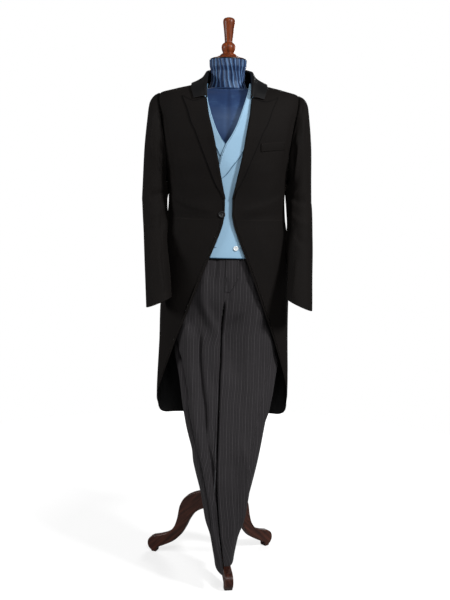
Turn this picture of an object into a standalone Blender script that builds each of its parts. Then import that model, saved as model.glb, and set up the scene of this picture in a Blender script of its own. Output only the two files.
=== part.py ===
"""A morning suit worn by a limbless dress form on a three-legged stand.

The tail coat, the double-breasted waistcoat and the trousers are thin walls of cloth round a hollow.
Every wall lies on one of four surfaces: the figure under the coat, a sleeve, a trouser leg or the collar.
Metres, +Z up. The front faces -Y, and angles are in degrees round the figure from the centre front,
positive towards +X. A side is +1 for the +X half and -1 for the -X half.
"""

import math

import bpy
import numpy as np

# ---------------------------------------------------------------- driving sizes

COAT_CLOTH = 0.0020
WAISTCOAT_CLOTH = 0.0016
TROUSER_CLOTH = 0.0016
SEAM = 0.0003  # gap that keeps neighbouring pieces apart
WAIST = 1.098  # height of the coat's waist seam
NECK_TOP = 1.503  # height of the coat's neck seam at the shoulder
FIGURE_POWER = 2.5  # 2 is an ellipse, more is squarer
OPENING_TURN = 2.0  # degrees by which the coat's opening is turned towards +X
BACK_SEAM = 151.0  # angle of the pleat where skirt and back meet
TAIL_END = 0.456

STAND_X = -0.008  # the stand's axis, beside the suit's own middle
STAND_Y = 0.010
NECK_X = -0.005
POLE_RADIUS = 0.0125
FORM_BOTTOM = 0.876
TROUSER_TOP = 1.058
WAISTBAND = 0.038
CROTCH_TOP = 0.87
CROTCH = 0.735
POLE_CLEARANCE = 0.0190
LAYER = 0.0007  # gap under a piece that lies on another, where both are curved


def table(names, *rows):
    """Columns by name. The first column only ever rises or falls."""
    return dict(zip(names.split(), np.array(rows, float).T))


# The coat's outer surface: half width at the sides, and depth in front of and behind the middle.
FIGURE = table(
    "z half_width front back",
    (0.440, 0.202, 0.108, 0.130),
    (0.520, 0.201, 0.110, 0.131),
    (0.600, 0.200, 0.114, 0.132),
    (0.700, 0.1965, 0.121, 0.133),
    (0.820, 0.194, 0.127, 0.133),
    (0.930, 0.192, 0.130, 0.130),
    (1.000, 0.1895, 0.130, 0.122),
    (1.050, 0.1860, 0.1285, 0.113),
    (1.100, 0.1785, 0.126, 0.106),
    (1.150, 0.1753, 0.126, 0.103),
    (1.210, 0.1800, 0.131, 0.112),
    (1.270, 0.1915, 0.136, 0.124),
    (1.330, 0.2040, 0.136, 0.132),
    (1.390, 0.2110, 0.128, 0.133),
    (1.430, 0.2115, 0.114, 0.127),
    (1.455, 0.2090, 0.098, 0.117),
    (1.4653, 0.2055, 0.088, 0.111),
    (1.4795, 0.1600, 0.074, 0.102),
    (1.4925, 0.1090, 0.058, 0.090),
    (1.5107, 0.0760, 0.044, 0.076),
)
# Soft flutes of the skirts: how deep they stand out, and the height where they begin.
FLUTES = table(
    "angle width depth top",
    (-138, 13, 0.006, 1.02),
    (-112, 11, 0.003, 0.90),
    (-74, 15, 0.004, 0.95),
    (70, 14, 0.004, 0.93),
    (108, 12, 0.004, 0.94),
    (136, 12, 0.006, 1.00),
)
# The coat's front edge, from the neck down the roll, round the button and along the cutaway.
COAT_EDGE = table(
    "z angle",
    (0.500, 104.0),
    (0.520, 88.0),
    (0.545, 77.0),
    (0.580, 67.0),
    (0.620, 60.0),
    (0.687, 50.5),
    (0.735, 44.6),
    (0.804, 35.7),
    (0.864, 29.1),
    (0.930, 22.0),
    (0.985, 15.9),
    (1.010, 13.0),
    (1.046, 8.9),
    (1.089, 4.9),
    (1.120, 3.7),
    (1.147, 3.7),
    (1.184, 6.0),
    (1.237, 9.2),
    (1.298, 12.1),
    (1.355, 14.4),
    (1.395, 16.5),
    (1.447, 18.6),
    (1.476, 25.0),
    (1.492, 38.0),
    (1.503, 56.0),
)
LAPEL_EDGE = table(
    "z angle",
    (1.158, 4.6),
    (1.171, 6.2),
    (1.204, 12.3),
    (1.269, 19.4),
    (1.328, 24.8),
    (1.352, 26.9),
    (1.374, 29.7),
    (1.418, 33.6),
    (1.454, 38.6),
)
LAPEL_TOP = table("across z", (0.0, 1.4480), (0.55, 1.4385), (0.8, 1.4440), (1.0, 1.4535))
SKIRT_HEM = table(
    "angle z", (90, 0.508), (104, 0.498), (115, 0.478), (126, 0.468), (150, 0.461), (180, TAIL_END)
)
SIDE_BODY_SEAM = table("z angle", (WAIST, BACK_SEAM), (1.17, 145), (1.24, 135), (1.30, 126), (1.34, 121))
SIDE_BODY_TIP = 1.335
ARMHOLE = dict(middle=1.3375, half_height=0.1275, front=29.0, back=31.0)

# One sleeve: the outer and inner ends of each ring, its middle and half its depth. The first is the seam.
SLEEVE = table(
    "row outer_x outer_z inner_x inner_z centre_y half_depth",
    (0, 0.2130, 1.4640, 0.1780, 1.2090, 0.000, 0.075),
    (1, 0.2260, 1.4600, 0.1815, 1.2060, 0.000, 0.077),
    (2, 0.2370, 1.4360, 0.1830, 1.2030, 0.000, 0.080),
    (3, 0.2440, 1.3850, 0.1845, 1.2000, 0.000, 0.081),
    (4, 0.2510, 1.3000, 0.1845, 1.1880, 0.000, 0.079),
    (5, 0.2545, 1.2050, 0.1825, 1.1600, -0.004, 0.076),
    (6, 0.2560, 1.1150, 0.1810, 1.1050, -0.018, 0.072),
    (7, 0.2530, 1.0350, 0.1800, 1.0350, -0.048, 0.067),
    (8, 0.2480, 0.9350, 0.1745, 0.9450, -0.090, 0.060),
    (9, 0.2440, 0.8380, 0.1690, 0.8700, -0.126, 0.052),
)
SLEEVE_SWING = {-1: 0.0145, 1: 0.0155}  # how far the cuff hangs towards +X
SLEEVE_REST = 0.0032  # gap where a sleeve leans on the coat's flank
FOREARM_SEAM = 126.0  # round the sleeve, from its outer side by the front
HINDARM_SEAM = 82.0  # round the sleeve, from its outer side by the back

# The collar, from the gorge in front to the middle of the back.
COLLAR = table(
    "along base_x base_y base_z fold_x fold_y fold_z edge_x edge_y straight",
    (0.00, 0.0660, -0.1000, 1.4480, 0.0680, -0.1030, 1.4535, 0.1020, -0.1000, 1.0),
    (0.22, 0.0690, -0.0720, 1.4780, 0.0695, -0.0745, 1.4900, 0.1110, -0.0680, 0.3),
    (0.46, 0.0730, -0.0050, 1.5080, 0.0665, -0.0060, 1.5300, 0.1110, -0.0050, 0.1),
    (0.66, 0.0580, 0.0480, 1.5110, 0.0545, 0.0450, 1.5410, 0.0930, 0.0590, 0.5),
    (0.84, 0.0290, 0.0690, 1.5120, 0.0275, 0.0640, 1.5475, 0.0500, 0.0960, 0.8),
    (1.00, 0.0000, 0.0745, 1.5120, 0.0000, 0.0690, 1.5500, 0.0000, 0.1060, 0.8),
    (1.16, -0.0290, 0.0690, 1.5120, -0.0275, 0.0640, 1.5475, -0.0500, 0.0960, 0.8),
)
COLLAR_FOLD = 0.0036  # radius of the collar's fold
COLLAR_BEND = 0.0125  # from the fold to where the collar lies down on the shoulder
COLLAR_CLOTH = 0.0020

# The waistcoat lies inside the coat's surface by these depths. The +X front laps over the other.
WAISTCOAT_DEPTH = {1: 0.0078, -1: 0.0104}
WAISTCOAT_HEM = 0.985
WAISTCOAT_LAP = table(
    "z x",
    (0.985, -0.050),
    (1.050, -0.049),
    (1.120, -0.047),
    (1.200, -0.040),
    (1.240, -0.029),
    (1.262, -0.0215),
    (1.284, -0.0178),
    (1.314, -0.0058),
    (1.343, 0.0117),
    (1.375, 0.0265),
    (1.423, 0.0422),
    (1.459, 0.0525),
    (1.485, 0.0590),
    (1.510, 0.0640),
)
WAISTCOAT_UNDERLAP = table(
    "z x",
    (0.985, -0.044),
    (1.200, -0.038),
    (1.250, -0.026),
    (1.290, -0.008),
    (1.314, 0.0058),
    (1.346, 0.0287),
    (1.381, 0.0436),
    (1.413, 0.0540),
    (1.456, 0.0640),
    (1.485, 0.0660),
    (1.510, 0.0680),
)
WAISTCOAT_ARMHOLE = table(
    "z front back",
    (1.150, 90, 90),
    (1.180, 72, 104),
    (1.230, 53, 118),
    (1.310, 41, 128),
    (1.400, 37, 132),
    (1.450, 38, 130),
    (1.475, 43, 124),
    (1.485, 54, 112),
    (1.492, 89.7, 90.3),
    (1.512, 89.7, 90.3),
)
# The waistcoat lapel's outer edge, and where it ends on each front.
WAISTCOAT_LAPEL = {
    1: table("z x", (1.209, -0.0395), (1.214, -0.0200), (1.2255, -0.0040), (1.248, 0.0131), (1.288, 0.0418),
             (1.340, 0.0640), (1.400, 0.0800), (1.455, 0.0900), (1.492, 0.0920), (1.510, 0.0850)),
    -1: table("z x", (1.283, 0.0230), (1.300, 0.0310), (1.320, 0.0430), (1.350, 0.0600), (1.400, 0.0790),
              (1.455, 0.0900), (1.492, 0.0920), (1.510, 0.0850)),
}
WAISTCOAT_BUTTON = dict(radius=0.0072, height=0.0026)
WAISTCOAT_BUTTON_ROWS = (1.0150, 1.0800, 1.1400)
WAISTCOAT_BUTTON_X = {1: 0.0307, -1: -0.0282}

HIP = table(
    "z half_width front back",
    (0.700, 0.150, 0.112, 0.100),
    (0.820, 0.168, 0.117, 0.104),
    (0.930, 0.172, 0.116, 0.106),
    (1.000, 0.169, 0.114, 0.101),
    (1.060, 0.163, 0.110, 0.092),
)
# Each leg: its outer and inner sides, the line of its inseam and its depth before and behind that line.
# Behind tuck_from the inner side is tucked in, so that the legs hang on both sides of the stand.
LEG = {
    -1: table(
        "z outer_x inner_x centre_y front back tuck tuck_from",
        (0.054, -0.0100, 0.0165, -0.150, 0.092, 0.080, 0.0130, -0.186),
        (0.081, -0.0120, 0.0145, -0.149, 0.092, 0.082, 0.0130, -0.160),
        (0.141, -0.0225, 0.0055, -0.146, 0.092, 0.085, 0.0100, -0.136),
        (0.200, -0.0370, -0.0010, -0.140, 0.092, 0.088, 0.0105, -0.112),
        (0.262, -0.0480, -0.0070, -0.130, 0.094, 0.092, 0.0060, -0.070),
        (0.391, -0.0840, -0.0110, -0.100, 0.098, 0.098, 0.0, -0.020),
        (0.510, -0.1160, -0.0095, -0.064, 0.098, 0.112, 0.0, -0.020),
        (0.608, -0.1320, -0.0090, -0.038, 0.096, 0.118, 0.0, -0.020),
        (0.683, -0.1470, -0.0086, -0.022, 0.094, 0.120, 0.0, -0.020),
        (0.780, -0.1560, -0.0085, -0.014, 0.092, 0.122, 0.0, -0.020),
    ),
    1: table(
        "z outer_x inner_x centre_y front back tuck tuck_from",
        (0.054, 0.0450, 0.0200, -0.158, 0.090, 0.078, 0.0160, -0.186),
        (0.081, 0.0455, 0.0180, -0.157, 0.090, 0.080, 0.0165, -0.160),
        (0.141, 0.0540, 0.0085, -0.150, 0.090, 0.084, 0.0230, -0.136),
        (0.200, 0.0680, 0.0020, -0.142, 0.092, 0.088, 0.0250, -0.112),
        (0.262, 0.0830, -0.0040, -0.131, 0.094, 0.092, 0.0135, -0.080),
        (0.391, 0.1150, -0.0095, -0.100, 0.099, 0.098, 0.0, -0.020),
        (0.510, 0.1390, -0.0080, -0.064, 0.099, 0.112, 0.0, -0.020),
        (0.608, 0.1550, -0.0075, -0.038, 0.097, 0.118, 0.0, -0.020),
        (0.683, 0.1620, -0.0071, -0.022, 0.095, 0.120, 0.0, -0.020),
        (0.780, 0.1620, -0.0070, -0.014, 0.092, 0.122, 0.0, -0.020),
    ),
}
LEG_POWER = 2.3
LEG_SQUARE = 5.0  # the legs' fronts are squarer where they lie side by side
TROUSER_HEM = {-1: 0.060, 1: 0.092}
HEM_SLANT = {-1: 0.034, 1: 0.004}  # rise of the hem from the inner to the outer side
FLY = dict(width=0.034, top=1.018, bottom=0.884)

# The form inside: heights and half sizes of its sections, and of its neck.
FORM_ARMPLATE = 0.166  # the form ends here at the arms
FORM_DEPTH = 0.0225  # inside the coat's surface
FORM_HIP_DEPTH = 0.0085  # inside the trousers' surface
NECK = table(
    "z half_width half_depth centre_y",
    (1.4830, 0.0580, 0.0530, 0.004),
    (1.5050, 0.0510, 0.0500, 0.003),
    (1.5300, 0.0505, 0.0500, 0.001),
    (1.5480, 0.0550, 0.0530, 0.000),
    (1.5660, 0.0560, 0.0530, 0.000),
)
CAP = ((0.0, 1.5663), (0.0500, 1.5663), (0.0518, 1.5690), (0.0518, 1.5735), (0.0495, 1.5765), (0.0, 1.5782))
FINIAL = (
    (0.0, 1.5785),
    (0.0240, 1.5785),
    (0.0248, 1.5800),
    (0.0225, 1.5822),
    (0.0172, 1.5862),
    (0.0168, 1.5885),
    (0.0188, 1.5935),
    (0.0203, 1.5990),
    (0.0207, 1.6035),
    (0.0199, 1.6090),
    (0.0165, 1.6140),
    (0.0122, 1.6172),
    (0.0115, 1.6200),
    (0.0124, 1.6310),
    (0.0146, 1.6520),
    (0.0170, 1.6700),
    (0.0177, 1.6770),
    (0.0168, 1.6830),
    (0.0132, 1.6872),
    (0.0070, 1.6895),
    (0.0, 1.6902),
)
HUB = (
    (0.0, 0.1450),
    (0.0150, 0.1450),
    (0.0230, 0.1500),
    (0.0285, 0.1600),
    (0.0300, 0.1700),
    (0.0300, 0.2350),
    (0.0280, 0.2450),
    (0.0210, 0.2520),
    (0.0165, 0.2600),
    (0.0165, 0.2650),
    (0.0, 0.2650),
)
# A leg of the stand, sawn from a board: its upper and lower edges, outwards from the hub.
FOOT_REACH = 0.2360
STAND_LEG_TOP = table(
    "out z",
    (0.0303, 0.2300),
    (0.0660, 0.2215),
    (0.0920, 0.2100),
    (0.1100, 0.1950),
    (0.1256, 0.1650),
    (0.1330, 0.1250),
    (0.1430, 0.0960),
    (0.1615, 0.0740),
    (0.1920, 0.0600),
    (0.2190, 0.0520),
)
STAND_LEG_UNDER = table(
    "out z",
    (0.0303, 0.1740),
    (0.0480, 0.1680),
    (0.0712, 0.1525),
    (0.0909, 0.1255),
    (0.1050, 0.0960),
    (0.1220, 0.0680),
    (0.1420, 0.0480),
    (0.1700, 0.0310),
    (0.2020, 0.0150),
)
STAND_LEG_WIDTH = 0.0250
STAND_LEG_TURNS = (-79.5, 40.5, 160.5)  # directions from +X
COAT_BUTTON = dict(radius=0.0100, height=0.0034)
CUFF_BUTTON = dict(radius=0.0072, height=0.0028)
CUFF_BUTTON_HEIGHTS = (0.9260, 0.9095, 0.8930, 0.8765)
CUFF_BUTTON_TURN = -50.0

NAMES = {-1: "left", 1: "right"}  # as seen from the front

# ---------------------------------------------------------------- curves and surfaces


def smooth(x, xs, ys):
    """A curve through the points that never overshoots them, flat beyond its ends."""
    if xs[0] > xs[-1]:
        xs, ys = xs[::-1], ys[::-1]
    x = np.clip(x, xs[0], xs[-1])
    steps = np.diff(xs)
    slopes = np.diff(ys) / steps
    both = slopes[:-1] * slopes[1:]
    total = np.where(both > 0, slopes[:-1] + slopes[1:], 1.0)
    inner = np.where(both > 0, 2 * both / total, 0.0)
    m = np.concatenate([slopes[:1], inner, slopes[-1:]])
    i = np.clip(np.searchsorted(xs, x, "right") - 1, 0, len(xs) - 2)
    t = (x - xs[i]) / steps[i]
    rise = ys[i] * (1 + 2 * t) * (1 - t) ** 2 + ys[i + 1] * t**2 * (3 - 2 * t)
    return rise + steps[i] * (m[i] * t * (1 - t) ** 2 + m[i + 1] * t**2 * (t - 1))


def read(source, column, at):
    first = next(iter(source))
    return smooth(np.asarray(at, float), source[first], source[column])


def ease(t):
    t = np.clip(t, 0, 1)
    return t * t * (3 - 2 * t)


def rounded(sine, cosine, power):
    """Divides a direction so that it ends on a unit superellipse."""
    size = (np.abs(sine) ** power + np.abs(cosine) ** power) ** (1 / power)
    return sine / size, cosine / size


def figure(angle, z):
    """The coat's outer surface."""
    angle, z = np.broadcast_arrays(np.asarray(angle, float), np.asarray(z, float))
    turn = np.radians(angle)
    across, ahead = rounded(np.sin(turn), np.cos(turn), FIGURE_POWER)
    depth = np.where(ahead > 0, read(FIGURE, "front", z), read(FIGURE, "back", z))
    flute = np.zeros_like(z)
    for at, width, high, top in zip(*FLUTES.values()):
        apart = (angle - at + 180) % 360 - 180
        flute = flute + high * np.exp(-((apart / width) ** 2)) * ease((top - z) / 0.35)
    x = (read(FIGURE, "half_width", z) + flute) * across
    return np.stack([x, -(depth + flute) * ahead, z], -1)


def angle_at(x, z):
    """The angle of the figure's front at a distance from the middle."""
    share = np.clip(np.abs(x) / read(FIGURE, "half_width", z), 0, 0.999) ** FIGURE_POWER
    return np.sign(x) * np.degrees(np.arctan((share / (1 - share)) ** (1 / FIGURE_POWER)))


def height_at(x, y):
    """The height of the figure's shoulders over a point in plan, by halving."""
    low = np.full(np.shape(x), 1.40)
    high = np.full(np.shape(x), FIGURE["z"][-1])
    for _ in range(40):
        z = (low + high) / 2
        depth = np.where(np.asarray(y) < 0, read(FIGURE, "front", z), read(FIGURE, "back", z))
        size = np.abs(x / read(FIGURE, "half_width", z)) ** FIGURE_POWER + np.abs(y / depth) ** FIGURE_POWER
        low = np.where(size < 1, z, low)
        high = np.where(size < 1, high, z)
    return low


def unit(v):
    return v / np.linalg.norm(v, axis=-1, keepdims=True)


def moved_out(surface, u, v, limits, steps, inside, out):
    """The surface's points, moved along their normals away from the points inside."""
    low, high = limits
    u, v = np.broadcast_arrays(np.asarray(u, float), np.asarray(v, float))
    along_u = surface(np.minimum(u + steps[0], high[0]), v) - surface(np.maximum(u - steps[0], low[0]), v)
    along_v = surface(u, np.minimum(v + steps[1], high[1])) - surface(u, np.maximum(v - steps[1], low[1]))
    points = surface(u, v)
    normal = unit(np.cross(along_u, along_v))
    side = np.sign((normal * (points - inside)).sum(-1, keepdims=True))
    return points + np.asarray(out)[..., None] * side * normal


def coat(angle, z, out=0.0):
    angle, z = np.broadcast_arrays(np.asarray(angle, float), np.asarray(z, float))
    axis = np.stack([0 * z, 0 * z, z - 0.03], -1)
    limits = ((-400, FIGURE["z"][0]), (400, FIGURE["z"][-1]))
    return moved_out(figure, angle, z, limits, (0.5, 0.0004), axis, out)


def rows_between(low, high, count):
    """Heights spaced evenly along the figure's side, so that the shoulders get their share."""
    fine = np.linspace(low, high, 400)
    run = np.hypot(np.gradient(fine), np.gradient(read(FIGURE, "half_width", fine)))
    length = np.cumsum(run)
    return np.interp(np.linspace(length[0], length[-1], count), length, fine)


def between(first, last, count):
    """A grid whose rows run from one edge to the other."""
    share = np.linspace(0, 1, count)
    return first[:, None] * (1 - share) + last[:, None] * share


def clear_of_flank(x, y, z):
    """Moves a sleeve's points outwards to where they just clear the coat's flank."""
    depth = np.where(y < 0, read(FIGURE, "front", z), read(FIGURE, "back", z))
    share = np.clip(np.abs(y) / depth, 0, 1) ** FIGURE_POWER
    flank = read(FIGURE, "half_width", z) * (1 - share) ** (1 / FIGURE_POWER) + SLEEVE_REST
    return (x + flank + np.sqrt((x - flank) ** 2 + 0.003**2)) / 2


def sleeve_ring(side, turn, row):
    """A point on the sleeve: turn is 0 outside, 90 in front, 180 by the body."""
    turn, row = np.broadcast_arrays(np.asarray(turn, float), np.asarray(row, float))
    outer = np.stack([read(SLEEVE, "outer_x", row), read(SLEEVE, "outer_z", row)], -1)
    inner = np.stack([read(SLEEVE, "inner_x", row), read(SLEEVE, "inner_z", row)], -1)
    around, ahead = rounded(np.cos(np.radians(turn)), np.sin(np.radians(turn)), 2.2)
    plane = (outer + inner) / 2 + (outer - inner) / 2 * around[..., None]
    hang = np.clip((1.15 - plane[..., 1]) / 0.31, 0, 1) ** 0.7
    x = plane[..., 0] + side * SLEEVE_SWING[side] * hang
    y = read(SLEEVE, "centre_y", row) - read(SLEEVE, "half_depth", row) * ahead
    x = x + (clear_of_flank(x, y, plane[..., 1]) - x) * ease((row - 3) / 1.5)
    ring = np.stack([side * x, y, plane[..., 1]], -1)
    seam = armhole(side, turn)
    seam[..., 0] += side * 2 * SEAM
    share = ease(row / 2.0)[..., None]
    return seam * (1 - share) + ring * share


def armhole(side, turn):
    """The armhole's seam on the figure: turn is 0 at the shoulder, 90 in front, 180 under the arm."""
    turn = np.radians(np.asarray(turn, float))
    reach = np.where(np.sin(turn) > 0, ARMHOLE["front"], ARMHOLE["back"])
    angle = 90 - reach * np.sin(turn)
    z = ARMHOLE["middle"] + ARMHOLE["half_height"] * np.cos(turn)
    return figure(side * angle, z)


def armhole_angles(z):
    """The armhole's front and back angles at a height."""
    share = np.clip((z - ARMHOLE["middle"]) / ARMHOLE["half_height"], -1, 1)
    open_by = np.sqrt(1 - share**2)
    return 90 - ARMHOLE["front"] * open_by, 90 + ARMHOLE["back"] * open_by


def sleeve(side, turn, row, out=0.0):
    turn, row = np.broadcast_arrays(np.asarray(turn, float), np.asarray(row, float))
    last = SLEEVE["row"][-1]
    middle = (sleeve_ring(side, turn, row) + sleeve_ring(side, turn + 180, row)) / 2
    limits = ((-720, 0), (720, last))
    return moved_out(lambda t, r: sleeve_ring(side, t, r), turn, row, limits, (1.0, 0.02), middle, out)


def crotch_share(z):
    return ease((CROTCH_TOP - z) / (CROTCH_TOP - CROTCH))


def trouser_section(side, face, share, z):
    """A point on a trouser panel: share 0 is the fly or inseam, 1 the side seam. Face -1 is the front."""
    share, z = np.broadcast_arrays(np.asarray(share, float), np.asarray(z, float))
    quarter = np.radians(90 * share)
    across, ahead = rounded(np.sin(quarter), np.cos(quarter), FIGURE_POWER)
    depth = read(HIP, "front" if face < 0 else "back", z)
    lean = STAND_X * ahead if face > 0 else 0.0
    hip = np.stack([side * read(HIP, "half_width", z) * across + lean, face * depth * ahead, z], -1)
    leg = LEG[side]
    outer, inner = read(leg, "outer_x", z), read(leg, "inner_x", z)
    half = np.radians(180 * share)
    power = np.where((share < 0.5) & (face < 0), LEG_SQUARE, LEG_POWER)
    across, ahead = rounded(-np.cos(half), np.sin(half), power)
    deep = read(leg, "front" if face < 0 else "back", z)
    x = (outer + inner) / 2 + (outer - inner) / 2 * across
    y = read(leg, "centre_y", z) + face * deep * ahead
    tuck = read(leg, "tuck", z) * ease((y - read(leg, "tuck_from", z)) / 0.03 + 1)
    x = x + side * tuck * (1 - across) / 2
    leg_points = np.stack([x, y, z], -1)
    blend = crotch_share(z)[..., None]
    return beside_pole(side, hip * (1 - blend) + leg_points * blend, crotch_share(z))


def beside_pole(side, points, share):
    """Moves a leg's points sideways where they would touch the pole. The seat seam opens round it."""
    apart = (points[..., 1] - STAND_Y) / 0.025
    needed = POLE_CLEARANCE * (1.25 * np.minimum(1, 4 * share) - apart**2)
    wanted = side * (points[..., 0] - STAND_X)
    kept = (wanted + needed + np.sqrt((wanted - needed) ** 2 + 0.002**2)) / 2
    moved = points.copy()
    moved[..., 0] = STAND_X + side * np.where(share > 0, kept, wanted)
    return moved


def trouser(side, face, share, z, out=0.0):
    share, z = np.broadcast_arrays(np.asarray(share, float), np.asarray(z, float))
    leg = LEG[side]
    blend = crotch_share(z)
    middle_x = side * 0.5 * read(HIP, "half_width", z) * (1 - blend)
    middle_x = middle_x + blend * (read(leg, "outer_x", z) + read(leg, "inner_x", z)) / 2
    inside = np.stack([middle_x, blend * read(leg, "centre_y", z), z], -1)
    limits = ((0, TROUSER_HEM[side] - 0.01), (1, TROUSER_TOP))
    return moved_out(
        lambda s, h: trouser_section(side, face, s, h), share, z, limits, (0.004, 0.001), inside, out
    )


# ---------------------------------------------------------------- meshes


def finish(name, points, faces, material, shaded=True):
    """An object from points and faces, turned to face out and shaded smooth but for its sharp edges."""
    mesh = bpy.data.meshes.new(name)
    mesh.from_pydata(np.asarray(points, float).tolist(), [], [list(map(int, f)) for f in faces])
    mesh.calc_loop_triangles()
    corners = np.array([t.vertices for t in mesh.loop_triangles])
    spots = np.asarray(points, float)[corners]
    volume = np.einsum("ij,ij->i", spots[:, 0], np.cross(spots[:, 1], spots[:, 2])).sum()
    if volume < 0:
        mesh.flip_normals()
    if shaded:
        mesh.shade_smooth()
        mesh.set_sharp_from_angle(angle=math.radians(40))
    obj = bpy.data.objects.new(name, mesh)
    bpy.context.scene.collection.objects.link(obj)
    mesh.materials.append(material)
    return obj


def wall(name, outer, inner, material, ring=False):
    """A closed wall between an outer and an inner grid. A ring's last column joins its first."""
    rows, columns = outer.shape[:2]
    count = rows * columns
    number = np.arange(count).reshape(rows, columns)
    if ring:
        number = np.concatenate([number, number[:, :1]], axis=1)
    corners = [number[:-1, :-1], number[:-1, 1:], number[1:, 1:], number[1:, :-1]]
    front = np.stack(corners, -1).reshape(-1, 4)
    back = front[:, ::-1] + count
    top, low = number[0], number[-1]
    if ring:
        edges = [np.stack([top[:-1], top[1:]], -1), np.stack([low[1:], low[:-1]], -1)]
    else:
        round_it = np.concatenate([top, number[1:, -1], low[-2::-1], number[-2:0:-1, 0]])
        edges = [np.stack([round_it, np.roll(round_it, -1)], -1)]
    edges = np.concatenate(edges)
    rim = np.stack([edges[:, 1], edges[:, 0], edges[:, 0] + count, edges[:, 1] + count], -1)
    points = np.concatenate([outer.reshape(-1, 3), inner.reshape(-1, 3)])
    return finish(name, points, np.concatenate([front, back, rim]), material)


def coat_wall(name, angle, z, out, thickness, material):
    return wall(name, coat(angle, z, out), coat(angle, z, out - thickness), material)


def turned(name, profile, centre, material, segments=24):
    """A solid of revolution. The profile starts and ends on the axis."""
    radius, height = np.array(profile).T
    turn = np.linspace(0, 2 * math.pi, segments, endpoint=False)
    rings = np.stack(
        [
            centre[0] + radius[1:-1, None] * np.cos(turn),
            centre[1] + radius[1:-1, None] * np.sin(turn),
            np.broadcast_to(height[1:-1, None], (len(radius) - 2, segments)),
        ],
        -1,
    ).reshape(-1, 3)
    ends = [(*centre, height[0]), (*centre, height[-1])]
    number = np.arange(len(rings)).reshape(-1, segments)
    after = np.roll(number, -1, axis=1)
    sides = np.stack([number[:-1], after[:-1], after[1:], number[1:]], -1).reshape(-1, 4).tolist()
    low = [[len(rings), b, a] for a, b in zip(number[0], after[0])]
    high = [[len(rings) + 1, a, b] for a, b in zip(number[-1], after[-1])]
    return finish(name, np.concatenate([rings, ends]), sides + low + high, material)


def loft(name, rings, material):
    """A solid through closed rings, with a flat end at each."""
    rows, columns = rings.shape[:2]
    number = np.arange(rows * columns).reshape(rows, columns)
    after = np.roll(number, -1, axis=1)
    sides = np.stack([number[:-1], after[:-1], after[1:], number[1:]], -1).reshape(-1, 4).tolist()
    ends = [number[0, ::-1].tolist(), number[-1].tolist()]
    return finish(name, rings.reshape(-1, 3), sides + ends, material)


def button(name, centre, normal, radius, height, material, segments=16):
    """A dished disc with a rounded rim, its back on the given point."""
    normal = unit(np.asarray(normal, float))
    side = unit(np.cross(normal, (0.0, 0.0, 1.0)))
    up = np.cross(side, normal)
    profile = np.array([(0.80, 0.0), (1.0, 0.35), (0.97, 0.80), (0.84, 1.0), (0.62, 0.72)])
    turn = np.linspace(0, 2 * math.pi, segments, endpoint=False)[None, :, None]
    rim = radius * profile[:, 0, None, None] * (np.cos(turn) * side + np.sin(turn) * up)
    rings = np.asarray(centre) + rim + height * profile[:, 1, None, None] * normal
    return loft(name, rings, material)


def surface_normal(place, *at):
    return unit(place(*at, 0.001) - place(*at, 0.0))


# ---------------------------------------------------------------- materials


def material(name, colour, roughness, metallic=0.0):
    made = bpy.data.materials.new(name)
    made.use_nodes = True
    shader = made.node_tree.nodes["Principled BSDF"]
    shader.inputs["Base Color"].default_value = (*colour, 1.0)
    shader.inputs["Roughness"].default_value = roughness
    shader.inputs["Metallic"].default_value = metallic
    return made


# ---------------------------------------------------------------- the coat


def coat_edge(side, z):
    turn = OPENING_TURN * ease((1.47 - z) / 0.2)
    return np.maximum(read(COAT_EDGE, "angle", z) + side * turn, 1.4)


def body_rows(top=NECK_TOP):
    """The rows that the fronts, side bodies and backs share, so that their seams match."""
    low = ARMHOLE["middle"] - ARMHOLE["half_height"]
    high = ARMHOLE["middle"] + ARMHOLE["half_height"]
    z = np.concatenate(
        [
            np.linspace(WAIST + SEAM / 2, low - 0.001, 4),
            low + np.array([0.003, 0.016, 0.045, 0.085, 0.125]),
            high - np.array([0.092, 0.060, 0.034, 0.014, 0.003]),
            [high + 0.0006, 1.4795, 1.4925, NECK_TOP],
        ]
    )
    return z[z <= top]


def build_fronts(cloth):
    """Each forepart, from the waist seam to the shoulder, with the armhole cut from its outer edge."""
    z = body_rows()
    front_of_arm, _ = armhole_angles(z)
    outer_edge = np.where(z < ARMHOLE["middle"] + ARMHOLE["half_height"], front_of_arm, 90.0)
    outer_edge = outer_edge - 0.06
    for side in (-1, 1):
        angle = side * between(coat_edge(side, z), outer_edge, 9)
        name = f"coat_front_{NAMES[side]}"
        coat_wall(name, angle, z[:, None] + 0 * angle, 0.0, COAT_CLOTH, cloth)


def side_seam(z):
    """Where the side body meets the back, up to its tip at the armhole."""
    _, behind_arm = armhole_angles(z)
    return np.maximum(read(SIDE_BODY_SEAM, "angle", z), behind_arm + 0.8)


def build_side_bodies(cloth):
    """The narrow piece under each arm, between the front and the back."""
    z = body_rows(SIDE_BODY_TIP)
    _, behind_arm = armhole_angles(z)
    first = np.where(z < ARMHOLE["middle"] - ARMHOLE["half_height"], 90.0, behind_arm) + 0.06
    last = side_seam(z) - 0.06
    for side in (-1, 1):
        angle = side * between(first, last, 5)
        name = f"coat_side_{NAMES[side]}"
        coat_wall(name, angle, z[:, None] + 0 * angle, 0.0, COAT_CLOTH, cloth)


def build_backs(cloth):
    """Each back, in one length from the neck to the tail, with an open vent below the waist."""
    above = body_rows()
    below = np.linspace(TAIL_END + 0.001, WAIST - 0.01, 10)
    z = np.concatenate([below, above])
    _, behind_arm = armhole_angles(z)
    seam = np.where(z <= SIDE_BODY_TIP, side_seam(z), behind_arm)
    seam = np.where(z > ARMHOLE["middle"] + ARMHOLE["half_height"], 90.0, seam)
    outer = seam + 0.06
    vent = 0.06 + 0.6 * ease((WAIST - 0.03 - z) / 0.5)
    for side in (-1, 1):
        angle = side * between(outer, 180 - vent, 5)
        name = f"coat_back_{NAMES[side]}"
        coat_wall(name, angle, z[:, None] + 0 * angle, 0.0, COAT_CLOTH, cloth)


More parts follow.
